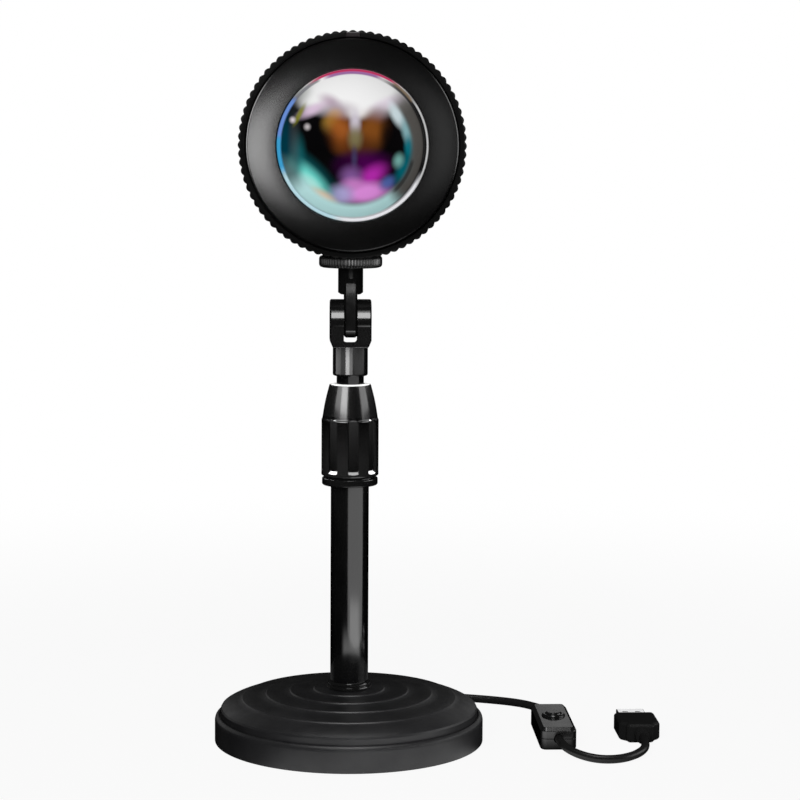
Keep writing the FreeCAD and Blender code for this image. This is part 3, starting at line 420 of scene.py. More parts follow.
# The tube's mesh and the line of its ring centres; the curve itself goes.
def tubeOf(curve):
    solid = bpy.data.meshes.new_from_object(curve)
    curve.data.bevel_depth = 0
    mesh = bpy.data.meshes.new_from_object(curve)
    line = [v.co.copy() for v in mesh.vertices]
    bpy.data.meshes.remove(mesh)
    bpy.data.objects.remove(curve)
    return solid, line


def closeTube(bm):
    bmesh.ops.holes_fill(bm, edges=bm.edges, sides=0)
    bmesh.ops.recalc_face_normals(bm, faces=bm.faces)


def makeTube(name, points, node):
    solid, line = tubeOf(leadCurve(name + "Route", points, lead["radius"]))
    bm = bmesh.new()
    bm.from_mesh(solid)
    closeTube(bm)
    piece = finishPiece(name, bm, black["cord"], "stand", 60)
    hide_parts(node)
    bpy.data.meshes.remove(solid)
    return piece, line


# The hank's loops: round each end in four steps, with two points along each straight side.
def hankPoints(values):
    end, low = values["loopEnd"], values["floor"]
    points = [(15, values["nearRun"], low)]
    y, side = values["nearRun"], 1
    for k, radius in enumerate(values["loops"]):
        upward = 1 if k % 2 == 0 else -1
        centre = y + upward * radius
        reach = radius / math.cos(math.radians(22.5))
        for turn in (-67.5, -22.5, 22.5, 67.5):
            a = math.radians(turn)
            points.append((side * (end + reach * math.cos(a)), centre + upward * reach * math.sin(a), low))
        y, side = centre + upward * radius, -side
        if k < len(values["loops"]) - 1:
            rise = values["tieRoom"] if k % 2 else 0
            points += [(-side * 6, y + 0.06 * (-1) ** k, low + rise), (side * 6, y - 0.05 * (-1) ** k, low + rise)]
    return points + [(-15, y, low), (-12, y, low)]


def makeLead(values):
    solid, line = tubeOf(leadCurve("leadDrop", values["drop"], values["radius"]))
    rings = len(line)
    around = len(solid.vertices) // rings
    reached = [0]
    for p, q in zip(line, line[1:]):
        reached.append(reached[-1] + (q - p).length / mm)
    # piece, body at its start, body at its end, millimetres along the lead, where the change starts and ends
    stretches = [
        ("leadHeadStretch", "head", "tilt_arm", 0, 42, (0, 45, 218), (0, 65, 205)),
        ("leadTiltStretch", "tilt_arm", "mast", 42, 104, (0, 65, 200), (0, 64, 146)),
        ("leadTurnStretch", "mast", "carriage", 104, 170, (0, 63, 138), (0, 61, 78)),
        ("leadSlideStretch", "carriage", "stand", 170, 999, (0, 61, 70), (0, 61, 18)),
    ]
    for name, first, second, low, high, start, end in stretches:
        a = min(range(rings), key=lambda k: abs(reached[k] - low))
        b = min(range(rings), key=lambda k: abs(reached[k] - high))
        bm = bmesh.new()
        bm.from_mesh(solid)
        bm.verts.ensure_lookup_table()
        outside = [v for v in bm.verts if not a * around <= v.index < (b + 1) * around]
        bmesh.ops.delete(bm, geom=outside, context="VERTS")
        closeTube(bm)
        piece = finishPiece(name, bm, black["cord"], None, 60)
        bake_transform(piece)
    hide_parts("cord_drop")
    bpy.data.meshes.remove(solid)
    return (makeTube("leadHank", hankPoints(values), "cord_coil"),
            makeTube("leadRun", values["run"], "cord_run"),
            makeTube("leadTail", values["tail"], "cord_tail"))


# A soft strap round the hank's three near runs, with its end lapped over the top.
tie = {"x": -4.0, "wide": 5.0, "from": 62.0, "to": 74.0, "high": 4.55, "thick": 0.42, "corner": 1.9, "flap": 7.0}


def makeTie(v):
    bm = bmesh.new()
    bmesh.ops.create_cube(bm, size=1)
    bmesh.ops.delete(bm, geom=[f for f in bm.faces if abs(f.normal.x) > 0.5], context="FACES_ONLY")
    bmesh.ops.scale(bm, verts=bm.verts, vec=(v["wide"] * mm, (v["to"] - v["from"]) * mm, v["high"] * mm))
    long = [e for e in bm.edges if abs(e.verts[0].co.x - e.verts[1].co.x) > 0.001]
    bevelEdges(bm, long, v["corner"], 6)
    bmesh.ops.recalc_face_normals(bm, faces=bm.faces)
    bmesh.ops.solidify(bm, geom=bm.faces, thickness=v["thick"] * mm)
    middle = (v["from"] + v["to"]) / 2
    bmesh.ops.translate(bm, verts=bm.verts, vec=Vector((v["x"], middle, v["high"] / 2)) * mm)
    addBox(bm, (v["wide"], v["flap"], v["thick"]), (v["x"], middle + 1, v["high"] + v["thick"] / 2))
    roundEdges(bm, 0.1, 40, 2)
    low = min(p.co.z for p in bm.verts)
    bmesh.ops.translate(bm, verts=bm.verts, vec=(0, 0, max(0, 0.00002 - low)))
    finishPiece("leadTie", bm, black["rubber"], "stand", 40)


hankLead, runLead, tailLead = makeLead(lead)
makeTie(tie)
print("lead laid")


base = {
    "radius": 56.7, "foot": 0.2, "rimTop": 11.2, "rimShoulder": 9.4, "rimInner": 54.9, "rimRound": 0.85,
    "lipRound": 0.35, "edgeRound": 0.4, "stepRound": 0.13,
    "grooveRadius": 54.5, "groove": 10.3, "edgeRadius": 54.2, "curveRadius": 55.5, "fall": 10.1,
    "middle": 21.85, "step": 0.45, "stepRadii": (45.0, 34.9, 24.8, 14.7), "wall": 2.0, "bore": 3.4,
}


def domeSkin(v, r):
    return v["middle"] - v["fall"] * (1 - math.sqrt(1 - (r / v["curveRadius"]) ** 2))


def makeBase(v):
    edge = v["edgeRadius"]
    profile = [(v["radius"], v["foot"]), (v["radius"], v["rimShoulder"]), (56.17, 10.67),
               (v["rimInner"], v["rimTop"]), (v["grooveRadius"], v["groove"]), (edge, v["groove"]),
               (edge, domeSkin(v, edge) - v["step"])]
    outer, lift = edge - 0.45, 0
    for radius in v["stepRadii"]:
        inner = radius + v["step"]
        shares = range(0, 9) if not lift else range(1, 4)
        for k in shares:
            r = outer + (inner - outer) * k / len(shares)
            profile.append((r, domeSkin(v, r) + lift * (1 - k / len(shares)) ** 2))
        profile += [(inner, domeSkin(v, radius) + 0.02), (radius, domeSkin(v, radius) + v["step"])]
        outer, lift = radius, v["step"]
    profile += [(7, v["middle"] + v["step"]), (v["bore"], v["middle"] + v["step"]),
                (v["bore"], v["middle"] - v["wall"]), (14, v["middle"] - v["wall"])]
    for r in (24, 34, 43, 49, 52.2):
        profile.append((r, domeSkin(v, r) - v["wall"]))
    profile += [(52.2, v["groove"] - v["wall"]), (v["radius"] - v["wall"], v["groove"] - v["wall"]),
                (v["radius"] - v["wall"], v["foot"])]
    bm = turnedShape(profile, 288)
    roundEdges(bm, v["rimRound"], 15, 3, within((55.5, 99), (9, 99)))
    roundEdges(bm, v["lipRound"], 40, 3, within((v["rimInner"] - 0.01, v["rimInner"] + 0.01)))
    roundEdges(bm, v["edgeRound"], 30, 3, within((53.5, 54.5), (12.5, 99)))
    roundEdges(bm, v["stepRound"], 20, 2, within((14, 45.6), (16.5, 99)))
    piece = finishPiece("baseCover", bm, black["base"], "stand", 28)
    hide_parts("base_dome")


makeBase(base)
print("base made")


mast = {
    "ringRadius": 9.1, "ringHeight": 3.1, "poleRadius": 8.0, "poleBore": 6.8, "poleTop": 118.0,
}


def makeFootRing(v):
    low = footHeight / mm
    profile = [(v["poleRadius"] + 0.05, low), (v["ringRadius"], low), (v["ringRadius"] + 0.3, low + 0.65),
               (v["ringRadius"], low + 1.3), (v["ringRadius"] - 0.45, low + 1.35),
               (v["ringRadius"] - 0.1, low + 2.2), (v["ringRadius"] - 0.75, low + v["ringHeight"]),
               (v["poleRadius"] + 0.05, low + v["ringHeight"])]
    bm = turnedShape(profile, 128)
    roundEdges(bm, 0.22, 20, 3, within((8.2, 99)))
    piece = finishPiece("poleFootRing", bm, black["fork"], "stand", 40)
    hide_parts("pole_foot_ring")


def makePole(v):
    low = footHeight / mm
    profile = [(v["poleBore"], low), (v["poleRadius"], low), (v["poleRadius"], v["poleTop"]),
               (v["poleBore"], v["poleTop"])]
    bm = turnedShape(profile, 128)
    roundEdges(bm, 0.25, 40, 2)
    piece = finishPiece("mastTube", bm, black["tube"], "stand")
    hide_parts("outer_pole")


makeFootRing(mast)
makePole(mast)
dressNode("collet", "colletFlange", black["fork"], "stand", "black_plastic", 0.2, 30, 2,
          within((8.5, 99), (0, 112.5)))

collar = {
    "radius": 12.0, "low": 112.9, "coneLow": 136.7, "top": 151.0, "mouth": 8.37, "bore": 6.5,
    "flutes": 8, "fluteWidth": 4.7, "fluteDepth": 1.0, "fluteFoot": 1.5, "archRise": 1.3, "turn": 6.0,
    "soft": 0.24, "fineFrom": 132.5, "fineStep": 0.17, "plainStep": 0.45, "chamfer": 0.4, "footRise": 1.45,
    "steps": 400, "shoulder": 0.4, "lip": 0.3, "bulge": 0.28, "topEdge": 0.06, "skin": 10.8, "coneTone": 0.15,
}
# A pale ring on the collar's top face: a painted highlight that stands in for the shine of that face.
highlightRing = {"inside": 6.05, "outside": 8.2, "height": 0.42, "gap": 0.01}    # pale ring on top of the collar


# How deep a flute is cut at a point of the collar's wall: a channel with an arched head and a sloping foot.
def fluteDepth(v, angle, height):
    spacing = 2 * math.pi / v["flutes"]
    off = (angle - math.radians(v["turn"] - 90) + spacing / 2) % spacing - spacing / 2
    along = abs(off) * v["radius"]
    half = v["fluteWidth"] / 2
    archCentre = v["coneLow"] + v["archRise"] - half
    inside = half - (math.hypot(along, height - archCentre) if height > archCentre else along)
    t = max(0.0, min(1.0, inside / v["soft"]))
    footLow = v["low"] + v["fluteFoot"] - 0.3 + 0.3 * (along / half) ** 2
    foot = max(0.0, min(1.0, (height - footLow) / v["footRise"]))
    return v["fluteDepth"] * min(t * t * (3 - 2 * t), foot)


# The cone's radius above the chamfer, a little bulged.
def coneRadius(v, height):
    start = v["coneLow"] + v["chamfer"]
    share = (height - start) / (v["top"] - v["topEdge"] - start)
    low, high = v["radius"] - v["shoulder"], v["mouth"] + v["lip"]
    return low + (high - low) * share + v["bulge"] * math.sin(math.pi * share)


def heightsBetween(low, high, step):
    count = max(1, round((high - low) / step))
    return [low + (high - low) * k / count for k in range(1, count + 1)]


def makeCollar(v):
    r = v["radius"]
    fine, plainStep = v["fineStep"], v["plainStep"]
    profile = [(9.75, v["low"]), (r - 0.5, v["low"]), (r - 0.15, v["low"] + 0.15), (r, v["low"] + 0.5),
               (r, v["low"] + 1.2)]
    profile += [(r, h) for h in heightsBetween(v["low"] + 1.2, v["low"] + 2.6, fine)]
    profile += [(r, h) for h in heightsBetween(v["low"] + 2.6, v["fineFrom"], plainStep)]
    profile += [(r, h) for h in heightsBetween(v["fineFrom"], v["coneLow"] - 0.45, fine)]
    start, finish = v["coneLow"] + v["chamfer"], v["top"] - v["topEdge"]
    profile += [(r - 0.12, v["coneLow"] - 0.15), (r - 0.25, v["coneLow"] + 0.12)]
    profile += [(coneRadius(v, h), h) for h in [start] + heightsBetween(start, v["coneLow"] + 1.6, fine)]
    profile += [(coneRadius(v, h), h) for h in heightsBetween(v["coneLow"] + 1.6, finish, 1.0)]
    profile += [(v["mouth"], v["top"]), (v["bore"] + 0.3, v["top"]), (v["bore"], v["top"] - 0.4),
                (v["bore"], v["top"] - 3), (8.5, 133), (9.75, 122)]
    bm = turnedShape(profile, v["steps"])
    for p in bm.verts:
        radius = p.co.xy.length
        if radius < v["skin"] * mm or p.co.z > (v["coneLow"] + 1.5) * mm:
            continue
        cut = fluteDepth(v, math.atan2(p.co.y, p.co.x), p.co.z / mm) * mm
        if cut:
            p.co.xy *= (radius - cut) / radius
    tidyMesh(bm)
    # Painted shade and painted light: flute walls black, flute floors lighter towards the top, lands lighter towards
    # the bottom, the cone one even grey.
    paintedShade = bm.verts.layers.float.new("paintedShade")
    for p in bm.verts:
        height = p.co.z / mm
        cut = fluteDepth(v, math.atan2(p.co.y, p.co.x), height) / v["fluteDepth"]
        up = max(0.0, min(1.0, (height - v["low"]) / (v["coneLow"] - v["low"])))
        if p.co.xy.length < v["skin"] * mm or height > v["coneLow"] + 1.5:
            p[paintedShade] = v["coneTone"]
        elif 0.04 < cut < 0.96:
            p[paintedShade] = 0
        else:
            p[paintedShade] = 0.1 + 0.7 * up ** 1.4 if cut >= 0.96 else 0.42 * (1 - max(0.0, up - 0.35) / 0.65)
    piece = finishPiece("gripCollar", bm, black["collar"], "lock_collar", 40)
    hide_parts("grip_collar")


# Makes the pale ring, a painted highlight on the collar's top.
def makeHighlightRing(v, seat):
    low, high, near, far = seat + v["gap"], seat + v["gap"] + v["height"], v["inside"], v["outside"]
    bm = turnedShape([(near, low), (far, low), (far, low + 0.07), (far - 0.1, low + 0.12), (near + 0.2, high),
                      (near, high - 0.06)], 128)
    finishPiece("collarHighlightRing", bm, plain["highlightRing"], "lock_collar", 40)


makeCollar(collar)
makeHighlightRing(highlightRing, collar["top"])
paint("inner_rod", black["tube"])
fork = {
    "wide": 8.66, "ear": 8.0, "pivot": 178.7, "sleeve": 7.33, "low": 154.8, "top": 166.7, "flare": 169.8,
    "slot": 5.7, "slotFloor": 168.1, "slotRound": 1.3, "round": 0.8, "bore": 5.75,
    "shank": 2.05, "screwPocket": 3.7, "nutPocket": 4.16, "pocket": 2.2, "through": 30, "steps": 140,
}


# Two ears, round about the pivot, with a slot between them, on a sleeve that takes the rod.
def makeFork(v):
    bm = bmesh.new()
    side = math.acos(v["sleeve"] / v["ear"])
    outline = [(-v["sleeve"], v["top"]), (-v["sleeve"], v["flare"])]
    for k in range(v["steps"] + 1):
        a = -side + (math.pi + 2 * side) * k / v["steps"]
        outline.append((-v["ear"] * math.cos(a), v["pivot"] + v["ear"] * math.sin(a)))
    outline += [(v["sleeve"], v["flare"]), (v["sleeve"], v["top"])]
    end = bm.faces.new([bm.verts.new((-v["wide"] * mm, y * mm, z * mm)) for y, z in outline])
    grown = bmesh.ops.extrude_face_region(bm, geom=[end])["geom"]
    bmesh.ops.translate(bm, verts=[g for g in grown if isinstance(g, bmesh.types.BMVert)],
                        vec=(2 * v["wide"] * mm, 0, 0))
    bmesh.ops.bisect_plane(bm, geom=bm.verts[:] + bm.edges[:] + bm.faces[:], plane_co=(0, 0, v["flare"] * mm),
                           plane_no=(0, 0, 1), dist=0.000001)
    for p in bm.verts:
        if p.co.z < (v["flare"] - 0.5) * mm:
            p.co.x *= v["sleeve"] / v["wide"]
    bmesh.ops.recalc_face_normals(bm, faces=bm.faces)
    roundEdges(bm, v["round"], 40, 4, lambda e: all(abs(p.co.x) > (v["sleeve"] - 0.33) * mm for p in e.verts))
    piece = finishPiece("forkPiece", bm, black["fork"], None, 30)
    slot = bmesh.new()
    addBox(slot, (v["slot"], v["through"], v["through"]), (0, 0, v["slotFloor"] + v["through"] / 2))
    low = (v["slotFloor"] + 1) * mm
    foot = [e for e in slot.edges if all(p.co.z < low for p in e.verts)
            and abs(e.verts[0].co.y - e.verts[1].co.y) > v["ear"] * mm]
    bevelEdges(slot, foot, v["slotRound"], 5)
    cutters = [slot]
    side, floor = v["through"] / 2, v["wide"] - v["pocket"]
    for radius, sides, low, high in ((v["shank"], 40, -side, side), (v["screwPocket"], 48, floor, side),
                                     (v["nutPocket"], 6, -side, -floor)):
        hole = bmesh.new()
        bmesh.ops.create_cone(hole, cap_ends=True, segments=sides, radius1=radius * mm, radius2=radius * mm,
                              depth=(high - low) * mm)
        bmesh.ops.rotate(hole, verts=hole.verts, cent=(0, 0, 0), matrix=Matrix.Rotation(math.pi / 2, 3, "Y"))
        bmesh.ops.rotate(hole, verts=hole.verts, cent=(0, 0, 0), matrix=Matrix.Rotation(math.pi / 2, 3, "X"))
        bmesh.ops.translate(hole, verts=hole.verts, vec=((low + high) / 2 * mm, 0, v["pivot"] * mm))
        cutters.append(hole)
    cutAway(piece, cutters, 30)
    ring = turnedShape([(v["bore"], v["low"]), (v["sleeve"] - 0.7, v["low"]), (v["sleeve"] - 0.2, v["low"] + 0.2),
                        (v["sleeve"], v["low"] + 0.7), (v["sleeve"], v["low"] + 0.9), (v["sleeve"], v["top"] + 0.2),
                        (v["sleeve"], v["top"] + 0.4), (v["bore"], v["top"] + 0.4)], 96)
    finishPiece("forkSleeve", ring, black["fork"], "mast", 30)
    normals = piece.modifiers.new("flatsFlat", "WEIGHTED_NORMAL")
    normals.keep_sharp = True
    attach(piece, "mast")
    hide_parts("rod_fork")


makeFork(fork)
dressNode("tilt_tongue", "tiltTongue", black["tongue"], "tilt_arm", "black_plastic", 0.3, 28, 2)

nut = {"radius": 13.17, "low": 200.0, "height": 5.0, "ribs": 60, "depth": 0.34}


def makeNut(v):
    low, top, r = v["low"], v["low"] + v["height"], v["radius"]
    profile = [(3.15, low), (r - 1.5, low), (r - 0.55, low + 0.3), (r - 0.12, low + 0.85), (r, low + 1.4),
               (r, top - 1.4), (r - 0.12, top - 0.85), (r - 0.55, top - 0.3), (r - 1.5, top), (3.15, top)]
    bm = turnedShape(profile, v["ribs"] * 6)
    for p in bm.verts:
        radius = p.co.xy.length
        if radius > (r - 1.2) * mm:
            wave = 0.5 + 0.5 * math.cos(math.atan2(p.co.y, p.co.x) * v["ribs"])
            p.co.xy *= (radius - v["depth"] * mm * (1 - wave ** 0.6)) / radius
    piece = finishPiece("lockNut", bm, black["nut"], "clamp_nut", 50)
    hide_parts("lock_nut")


makeNut(nut)
print("mast made")


head = {
    "housing": 42.3, "wall": 2.2, "front": -24.5, "window": (5.9, 7.5, 2.35), "windowUp": 44.35,
    "ringFront": -27.0, "ringBack": -14.0, "ringRadius": 46.2, "tooth": 0.8, "teeth": 80, "lip": 43.5,
    "face": 42.8, "faceEdge": -29.2, "faceInner": -31.6, "bevel": 0.6,
    "lens": 30.5, "lensSeat": 27.6, "dome": 29.2, "domeHeight": 14.0, "lensBack": -29.0,
}


def makeKnurledRing(v):
    r, root = v["ringRadius"], v["ringRadius"] - v["tooth"]
    front, back = v["ringFront"], v["ringBack"]
    profile = [(v["lip"], front), (root - 0.7, front), (root - 0.2, front + 0.15), (r - 0.35, front + 0.55),
               (r, front + 1.2), (r, back - 1.2), (r - 0.35, back - 0.55), (root - 0.2, back - 0.15),
               (root - 0.7, back), (v["housing"] + 0.02, back), (v["housing"] + 0.02, v["front"]),
               (v["lip"], v["front"])]
    bm = turnedShape(profile, v["teeth"] * 10)
    for p in bm.verts:
        radius = p.co.xy.length
        if radius > root * mm:
            wave = 0.5 + 0.5 * math.cos(math.atan2(p.co.y, p.co.x) * v["teeth"])
            height = (radius - root * mm) * wave ** 0.5
            p.co.xy *= (root * mm + height) / radius
    layInHead(bm)
    piece = finishPiece("knurledRing", bm, black["head"], None, 40)
    cutter = bmesh.new()
    addBox(cutter, v["window"], (0, v["front"], headHeight / mm + v["windowUp"]))
    cutAway(piece, [cutter])
    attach(piece, "head")
    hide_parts("knurled_ring")


def makeFacePlate(v):
    skirt, back = v["housing"] - v["wall"] - 0.05, v["front"] + 4.0
    seat = v["lensBack"] + 0.6
    profile = [(v["lens"] + 0.05, v["faceInner"] + 0.4), (v["lens"] + 0.45, v["faceInner"]),
               (v["face"] - v["bevel"], v["faceEdge"]), (v["face"], v["faceEdge"] + v["bevel"]),
               (v["face"], v["front"] - 0.02), (skirt, v["front"] - 0.02), (skirt, back), (skirt - 2, back),
               (skirt - 2, seat + 2), (v["lensSeat"], seat + 2), (v["lensSeat"], seat), (v["lens"] + 0.05, seat)]
    bm = turnedShape(profile, 256)
    roundEdges(bm, 0.16, 20, 2, within((0, 99), (-99, -28.5)))
    layInHead(bm)
    piece = finishPiece("facePlate", bm, black["face"], "head", 25)
    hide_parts("face_plate")


# The coated dome: soft patches of coating colour mixed with painted reflections (the white top patch, the glints and
# the dark sides), as they show, (right, up, half wide, half high, turn, colour, strength, core).
coatingAndReflections = [
    (0.02, 0.74, 0.72, 0.33, 0, (255, 255, 255), 1.0, 0.62),
    (0.06, 0.49, 0.16, 0.13, 0, (255, 255, 255), 1.0, 0.5),
    (-0.5, 0.6, 0.16, 0.09, -25, (255, 255, 255), 0.9, 0.2),
    (-0.67, 0.7, 0.1, 0.1, 30, (175, 182, 176), 0.45, 0.1),
    (-0.3, 0.57, 0.12, 0.07, 25, (178, 150, 172), 0.75, 0.1),
    (-0.53, 0.46, 0.17, 0.06, -25, (235, 208, 235), 0.85, 0.2),
    (0.47, 0.56, 0.2, 0.07, -18, (240, 225, 242), 0.7, 0.2),
    (-0.2, 0.46, 0.2, 0.09, 0, (150, 125, 145), 0.6, 0.1),
    (0.32, 0.42, 0.12, 0.09, -20, (165, 140, 155), 0.6, 0.1),
    (-0.24, 0.41, 0.07, 0.06, 0, (208, 178, 142), 0.75, 0.1),
    (-0.3, 0.28, 0.09, 0.11, 20, (172, 138, 58), 0.9, 0.15),
    (-0.18, 0.18, 0.15, 0.21, -12, (162, 88, 30), 0.95, 0.2),
    (0.23, 0.2, 0.17, 0.2, 12, (134, 77, 28), 0.95, 0.2),
    (0.03, 0.0, 0.22, 0.13, 0, (84, 42, 18), 0.75, 0.1),
    (0.02, 0.3, 0.06, 0.13, 0, (206, 198, 210), 0.95, 0.2),
    (0.02, 0.1, 0.08, 0.13, 0, (126, 118, 82), 0.9, 0.2),
    (-0.45, 0.05, 0.2, 0.22, -20, (6, 6, 7), 0.9, 0.3),
    (0.45, 0.12, 0.09, 0.2, 0, (7, 6, 7), 0.85, 0.2),
    (0.16, -0.25, 0.26, 0.14, 0, (76, 0, 80), 0.95, 0.1),
    (-0.1, -0.27, 0.14, 0.12, 0, (38, 0, 42), 0.8, 0),
    (0.01, -0.16, 0.035, 0.12, 0, (66, 60, 98), 0.8, 0.1),
    (0.24, -0.39, 0.17, 0.1, -35, (196, 46, 186), 0.95, 0.1),
    (-0.03, -0.4, 0.12, 0.11, 0, (142, 96, 166), 0.85, 0.1),
    (0.17, -0.61, 0.27, 0.12, -8, (243, 152, 241), 1.0, 0.4),
    (0.0, -0.5, 0.12, 0.07, 0, (224, 142, 220), 0.8, 0.1),
    (-0.17, -0.64, 0.15, 0.11, 0, (196, 188, 242), 0.9, 0.2),
    (0.45, -0.48, 0.1, 0.07, -35, (88, 112, 186), 0.9, 0.2),
    (-0.6, -0.33, 0.34, 0.12, 42, (10, 92, 98), 0.95, 0),
    (-0.56, -0.43, 0.27, 0.095, 44, (122, 238, 226), 1.0, 0.1),
    (-0.54, -0.5, 0.15, 0.06, 42, (196, 255, 246), 0.85, 0.1),
    (-0.4, -0.67, 0.17, 0.07, 28, (250, 218, 186), 0.95, 0.2),
    (-0.73, -0.12, 0.08, 0.2, 0, (22, 104, 110), 0.8, 0.1),
    (-0.9, 0.06, 0.09, 0.32, 0, (0, 60, 76), 0.95, 0.2),
    (-0.77, -0.02, 0.055, 0.4, 0, (74, 82, 86), 0.45, 0),
    (-0.82, -0.42, 0.11, 0.22, -28, (108, 142, 144), 0.85, 0.1),
    (-0.7, 0.4, 0.03, 0.13, 28, (136, 136, 22), 0.85, 0.3),
    (-0.79, 0.33, 0.03, 0.032, 0, (232, 222, 228), 1.0, 0),
    (-0.6, 0.24, 0.032, 0.034, 0, (196, 188, 190), 1.0, 0),
    (0.57, 0.4, 0.07, 0.16, -28, (224, 241, 246), 0.95, 0.3),
    (0.7, 0.17, 0.055, 0.16, -16, (152, 200, 206), 0.9, 0.2),
    (0.73, -0.03, 0.055, 0.14, -4, (14, 126, 142), 0.95, 0.3),
    (0.67, -0.3, 0.085, 0.19, 22, (0, 112, 126), 0.95, 0.3),
    (0.59, -0.19, 0.055, 0.075, 15, (134, 196, 188), 0.9, 0),
]
# Rings along the dome's rim: painted rim highlights and painted reflections, mixed with coating colour.
coatingAndReflectionRings = [    # (radius, half width, from degrees, to degrees, colour, strength), counted from the right
    (0.87, 0.13, 208, 318, (208, 254, 254), 1.0),
    (0.85, 0.11, -54, 52, (104, 101, 97), 0.85),
    (0.8, 0.03, -50, -12, (30, 30, 32), 0.6),
    (0.945, 0.03, -64, 70, (14, 14, 15), 0.9),
    (0.965, 0.03, 116, 144, (122, 122, 128), 0.85),
    (0.975, 0.035, 140, 178, (112, 150, 222), 1.0),
    (0.975, 0.04, 172, 204, (64, 166, 216), 1.0),
    (0.975, 0.035, 198, 264, (192, 226, 236), 1.0),
    (0.972, 0.045, 254, 338, (240, 240, 244), 1.0),
    (0.955, 0.03, 66, 114, (152, 82, 162), 0.9),
    (0.985, 0.022, 50, 126, (196, 52, 98), 1.0),
    (0.97, 0.025, 36, 58, (124, 106, 84), 0.9),
    (0.985, 0.018, -34, 40, (205, 205, 205), 1.0),
]


def fromShown(colour):
    return tuple((c / 255 / 12.92) if c <= 10 else ((c / 255 + 0.055) / 1.055) ** 2.4 for c in colour)


# The lens's colour is set by place on the dome: coating colours together with painted reflections and painted
# highlights.
def lensCoatingAndReflections(v):
    material, tree, shader = newMaterial("coatedLensPaintedReflections")
    place = newNode(tree, "TexCoord", {})
    centred = vectorMath(tree, "SUBTRACT", place.outputs["Object"], (0, 0, headHeight))
    scaled = vectorMath(tree, "MULTIPLY", centred.outputs[0], (1000 / v["lens"], 0, 1000 / v["lens"]))
    flat = scaled.outputs[0]
    colour = (0.003, 0.0026, 0.003)
    for right, up, wide, high, turn, tint, strength, edge in coatingAndReflections:
        mapping = newNode(tree, "Mapping", {"Location": (right, 0, up), "Rotation": (0, math.radians(turn), 0),
                                            "Scale": (wide, 1, high), "Vector": flat}, vector_type="TEXTURE")
        away = vectorMath(tree, "LENGTH", mapping.outputs[0]).outputs["Value"]
        mask = smoothRange(tree, away, edge, 2 - edge, strength, 0)
        colour = blended(tree, mask, colour, fromShown(tint))
    away = vectorMath(tree, "LENGTH", flat).outputs["Value"]
    for radius, half, low, high, tint, strength in coatingAndReflectionRings:
        middle, reach = math.radians((low + high) / 2), math.radians((high - low) / 2)
        turned = newNode(tree, "VectorRotate", {"Angle": middle, "Vector": flat}, rotation_type="Y_AXIS")
        parts = newNode(tree, "SeparateXYZ", {0: turned.outputs[0]})
        angle = valueMath(tree, "ABSOLUTE", valueMath(tree, "ARCTAN2", parts.outputs["Z"], parts.outputs["X"]), None)
        swing = smoothRange(tree, angle, reach * 0.72, reach * 1.08, 1, 0)
        off = valueMath(tree, "ABSOLUTE", valueMath(tree, "SUBTRACT", away, radius), None)
        band = smoothRange(tree, off, half * 0.35, half * 1.15, strength, 0)
        colour = blended(tree, valueMath(tree, "MULTIPLY", swing, band), colour, fromShown(tint))
    dust = noiseNode(tree, 300, 4)
    feed(tree, shader, {"Base Color": colour, "Roughness": ranged(tree, dust.outputs["Fac"], 0.1, 0.16),
                        "Specular IOR Level": 0.25})
    return material


def makeLens(v):
    rim = v["faceInner"]
    r, h = v["dome"], v["domeHeight"]
    ball = (r * r + h * h) / (2 * h)
    reach = math.asin(r / ball)
    profile = [(0, v["lensBack"]), (v["lens"], v["lensBack"]), (v["lens"], rim + 0.3), (v["lens"] - 0.3, rim)]
    for k in range(41):
        a = reach * (1 - k / 40)
        profile.append((ball * math.sin(a), rim - h + ball * (1 - math.cos(a))))
    bm = turnedShape(profile, 192, closed=False)
    layInHead(bm)
    bmesh.ops.recalc_face_normals(bm, faces=bm.faces)
    piece = finishPiece("domeLens", bm, lensCoatingAndReflections(v), "head", 35)
    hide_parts("lens")


makeKnurledRing(head)
makeFacePlate(head)
makeLens(head)
for values in [    # node, name, material, body, slot, width of the rounding, from degrees, segments
        ("ir_window", "receiverWindow", plain["window"], "head", "dark_window", 0.12, 40, 2),
        ("head_housing", "headHousing", black["head"], "head", "head_plastic", 0.3, 40, 2),
        ("rear_cover", "rearCover", black["head"], "head", "head_plastic", 0.2, 28, 2),
        ("cover_screws", "coverScrews", black["screw"], "head", "black_screw", 0.12, 40, 2),
        ("head_strain_relief", "leadRelief", black["rubber"], "head", "rubber_black", 0.15, 30, 2),
        ("switch_bottom_shell", "switchBottom", black["switch"], "stand", "switch_plastic", 0.25, 40, 2),
        ("switch_top_shell", "switchTop", black["switch"], "stand", "switch_plastic", 0.35, 28, 3),
        ("switch_button", "switchButton", black["switch"], "push_button", "switch_plastic", 0.2, 30, 2),
        ("plug_strain_relief", "plugRelief", black["rubber"], "stand", "rubber_black", 0.15, 30, 2),
        ("plug_body", "plugBody", black["plug"], "stand", "plug_plastic", 0.35, 28, 3),
        ("usb_shell", "plugShell", plain["usb"], "stand", "usb_steel", 0.08, 40, 2)]:
    dressNode(*values)
print("head, switch and plug made")

for node, material in {
    "base_pad": black["foam"], "base_weight": plain["iron"], "base_bolt": plain["steel"],
    "base_washer": plain["steel"], "pole_foot_plug": plain["steel"], "rod_guide_bush": plain["nylon"],
    "pivot_screw": plain["steel"], "pivot_nut": plain["steel"], "mount_stud": plain["steel"],
    "head_insert": plain["brass"], "lens_gasket": black["rubber"], "filter_disc": plain["filter"],
    "light_cone": black["head"], "led_emitter": plain["phosphor"], "led_board": plain["whiteBoard"],
    "led_board_screws": plain["steel"], "heat_sink": plain["aluminium"], "control_board": plain["board"],
    "ir_receiver": plain["window"], "switch_board": plain["board"], "switch_block": black["plug"],
    "usb_tongue": plain["nylon"], "usb_contacts": plain["gold"],
}.items():
    paint(node, material)


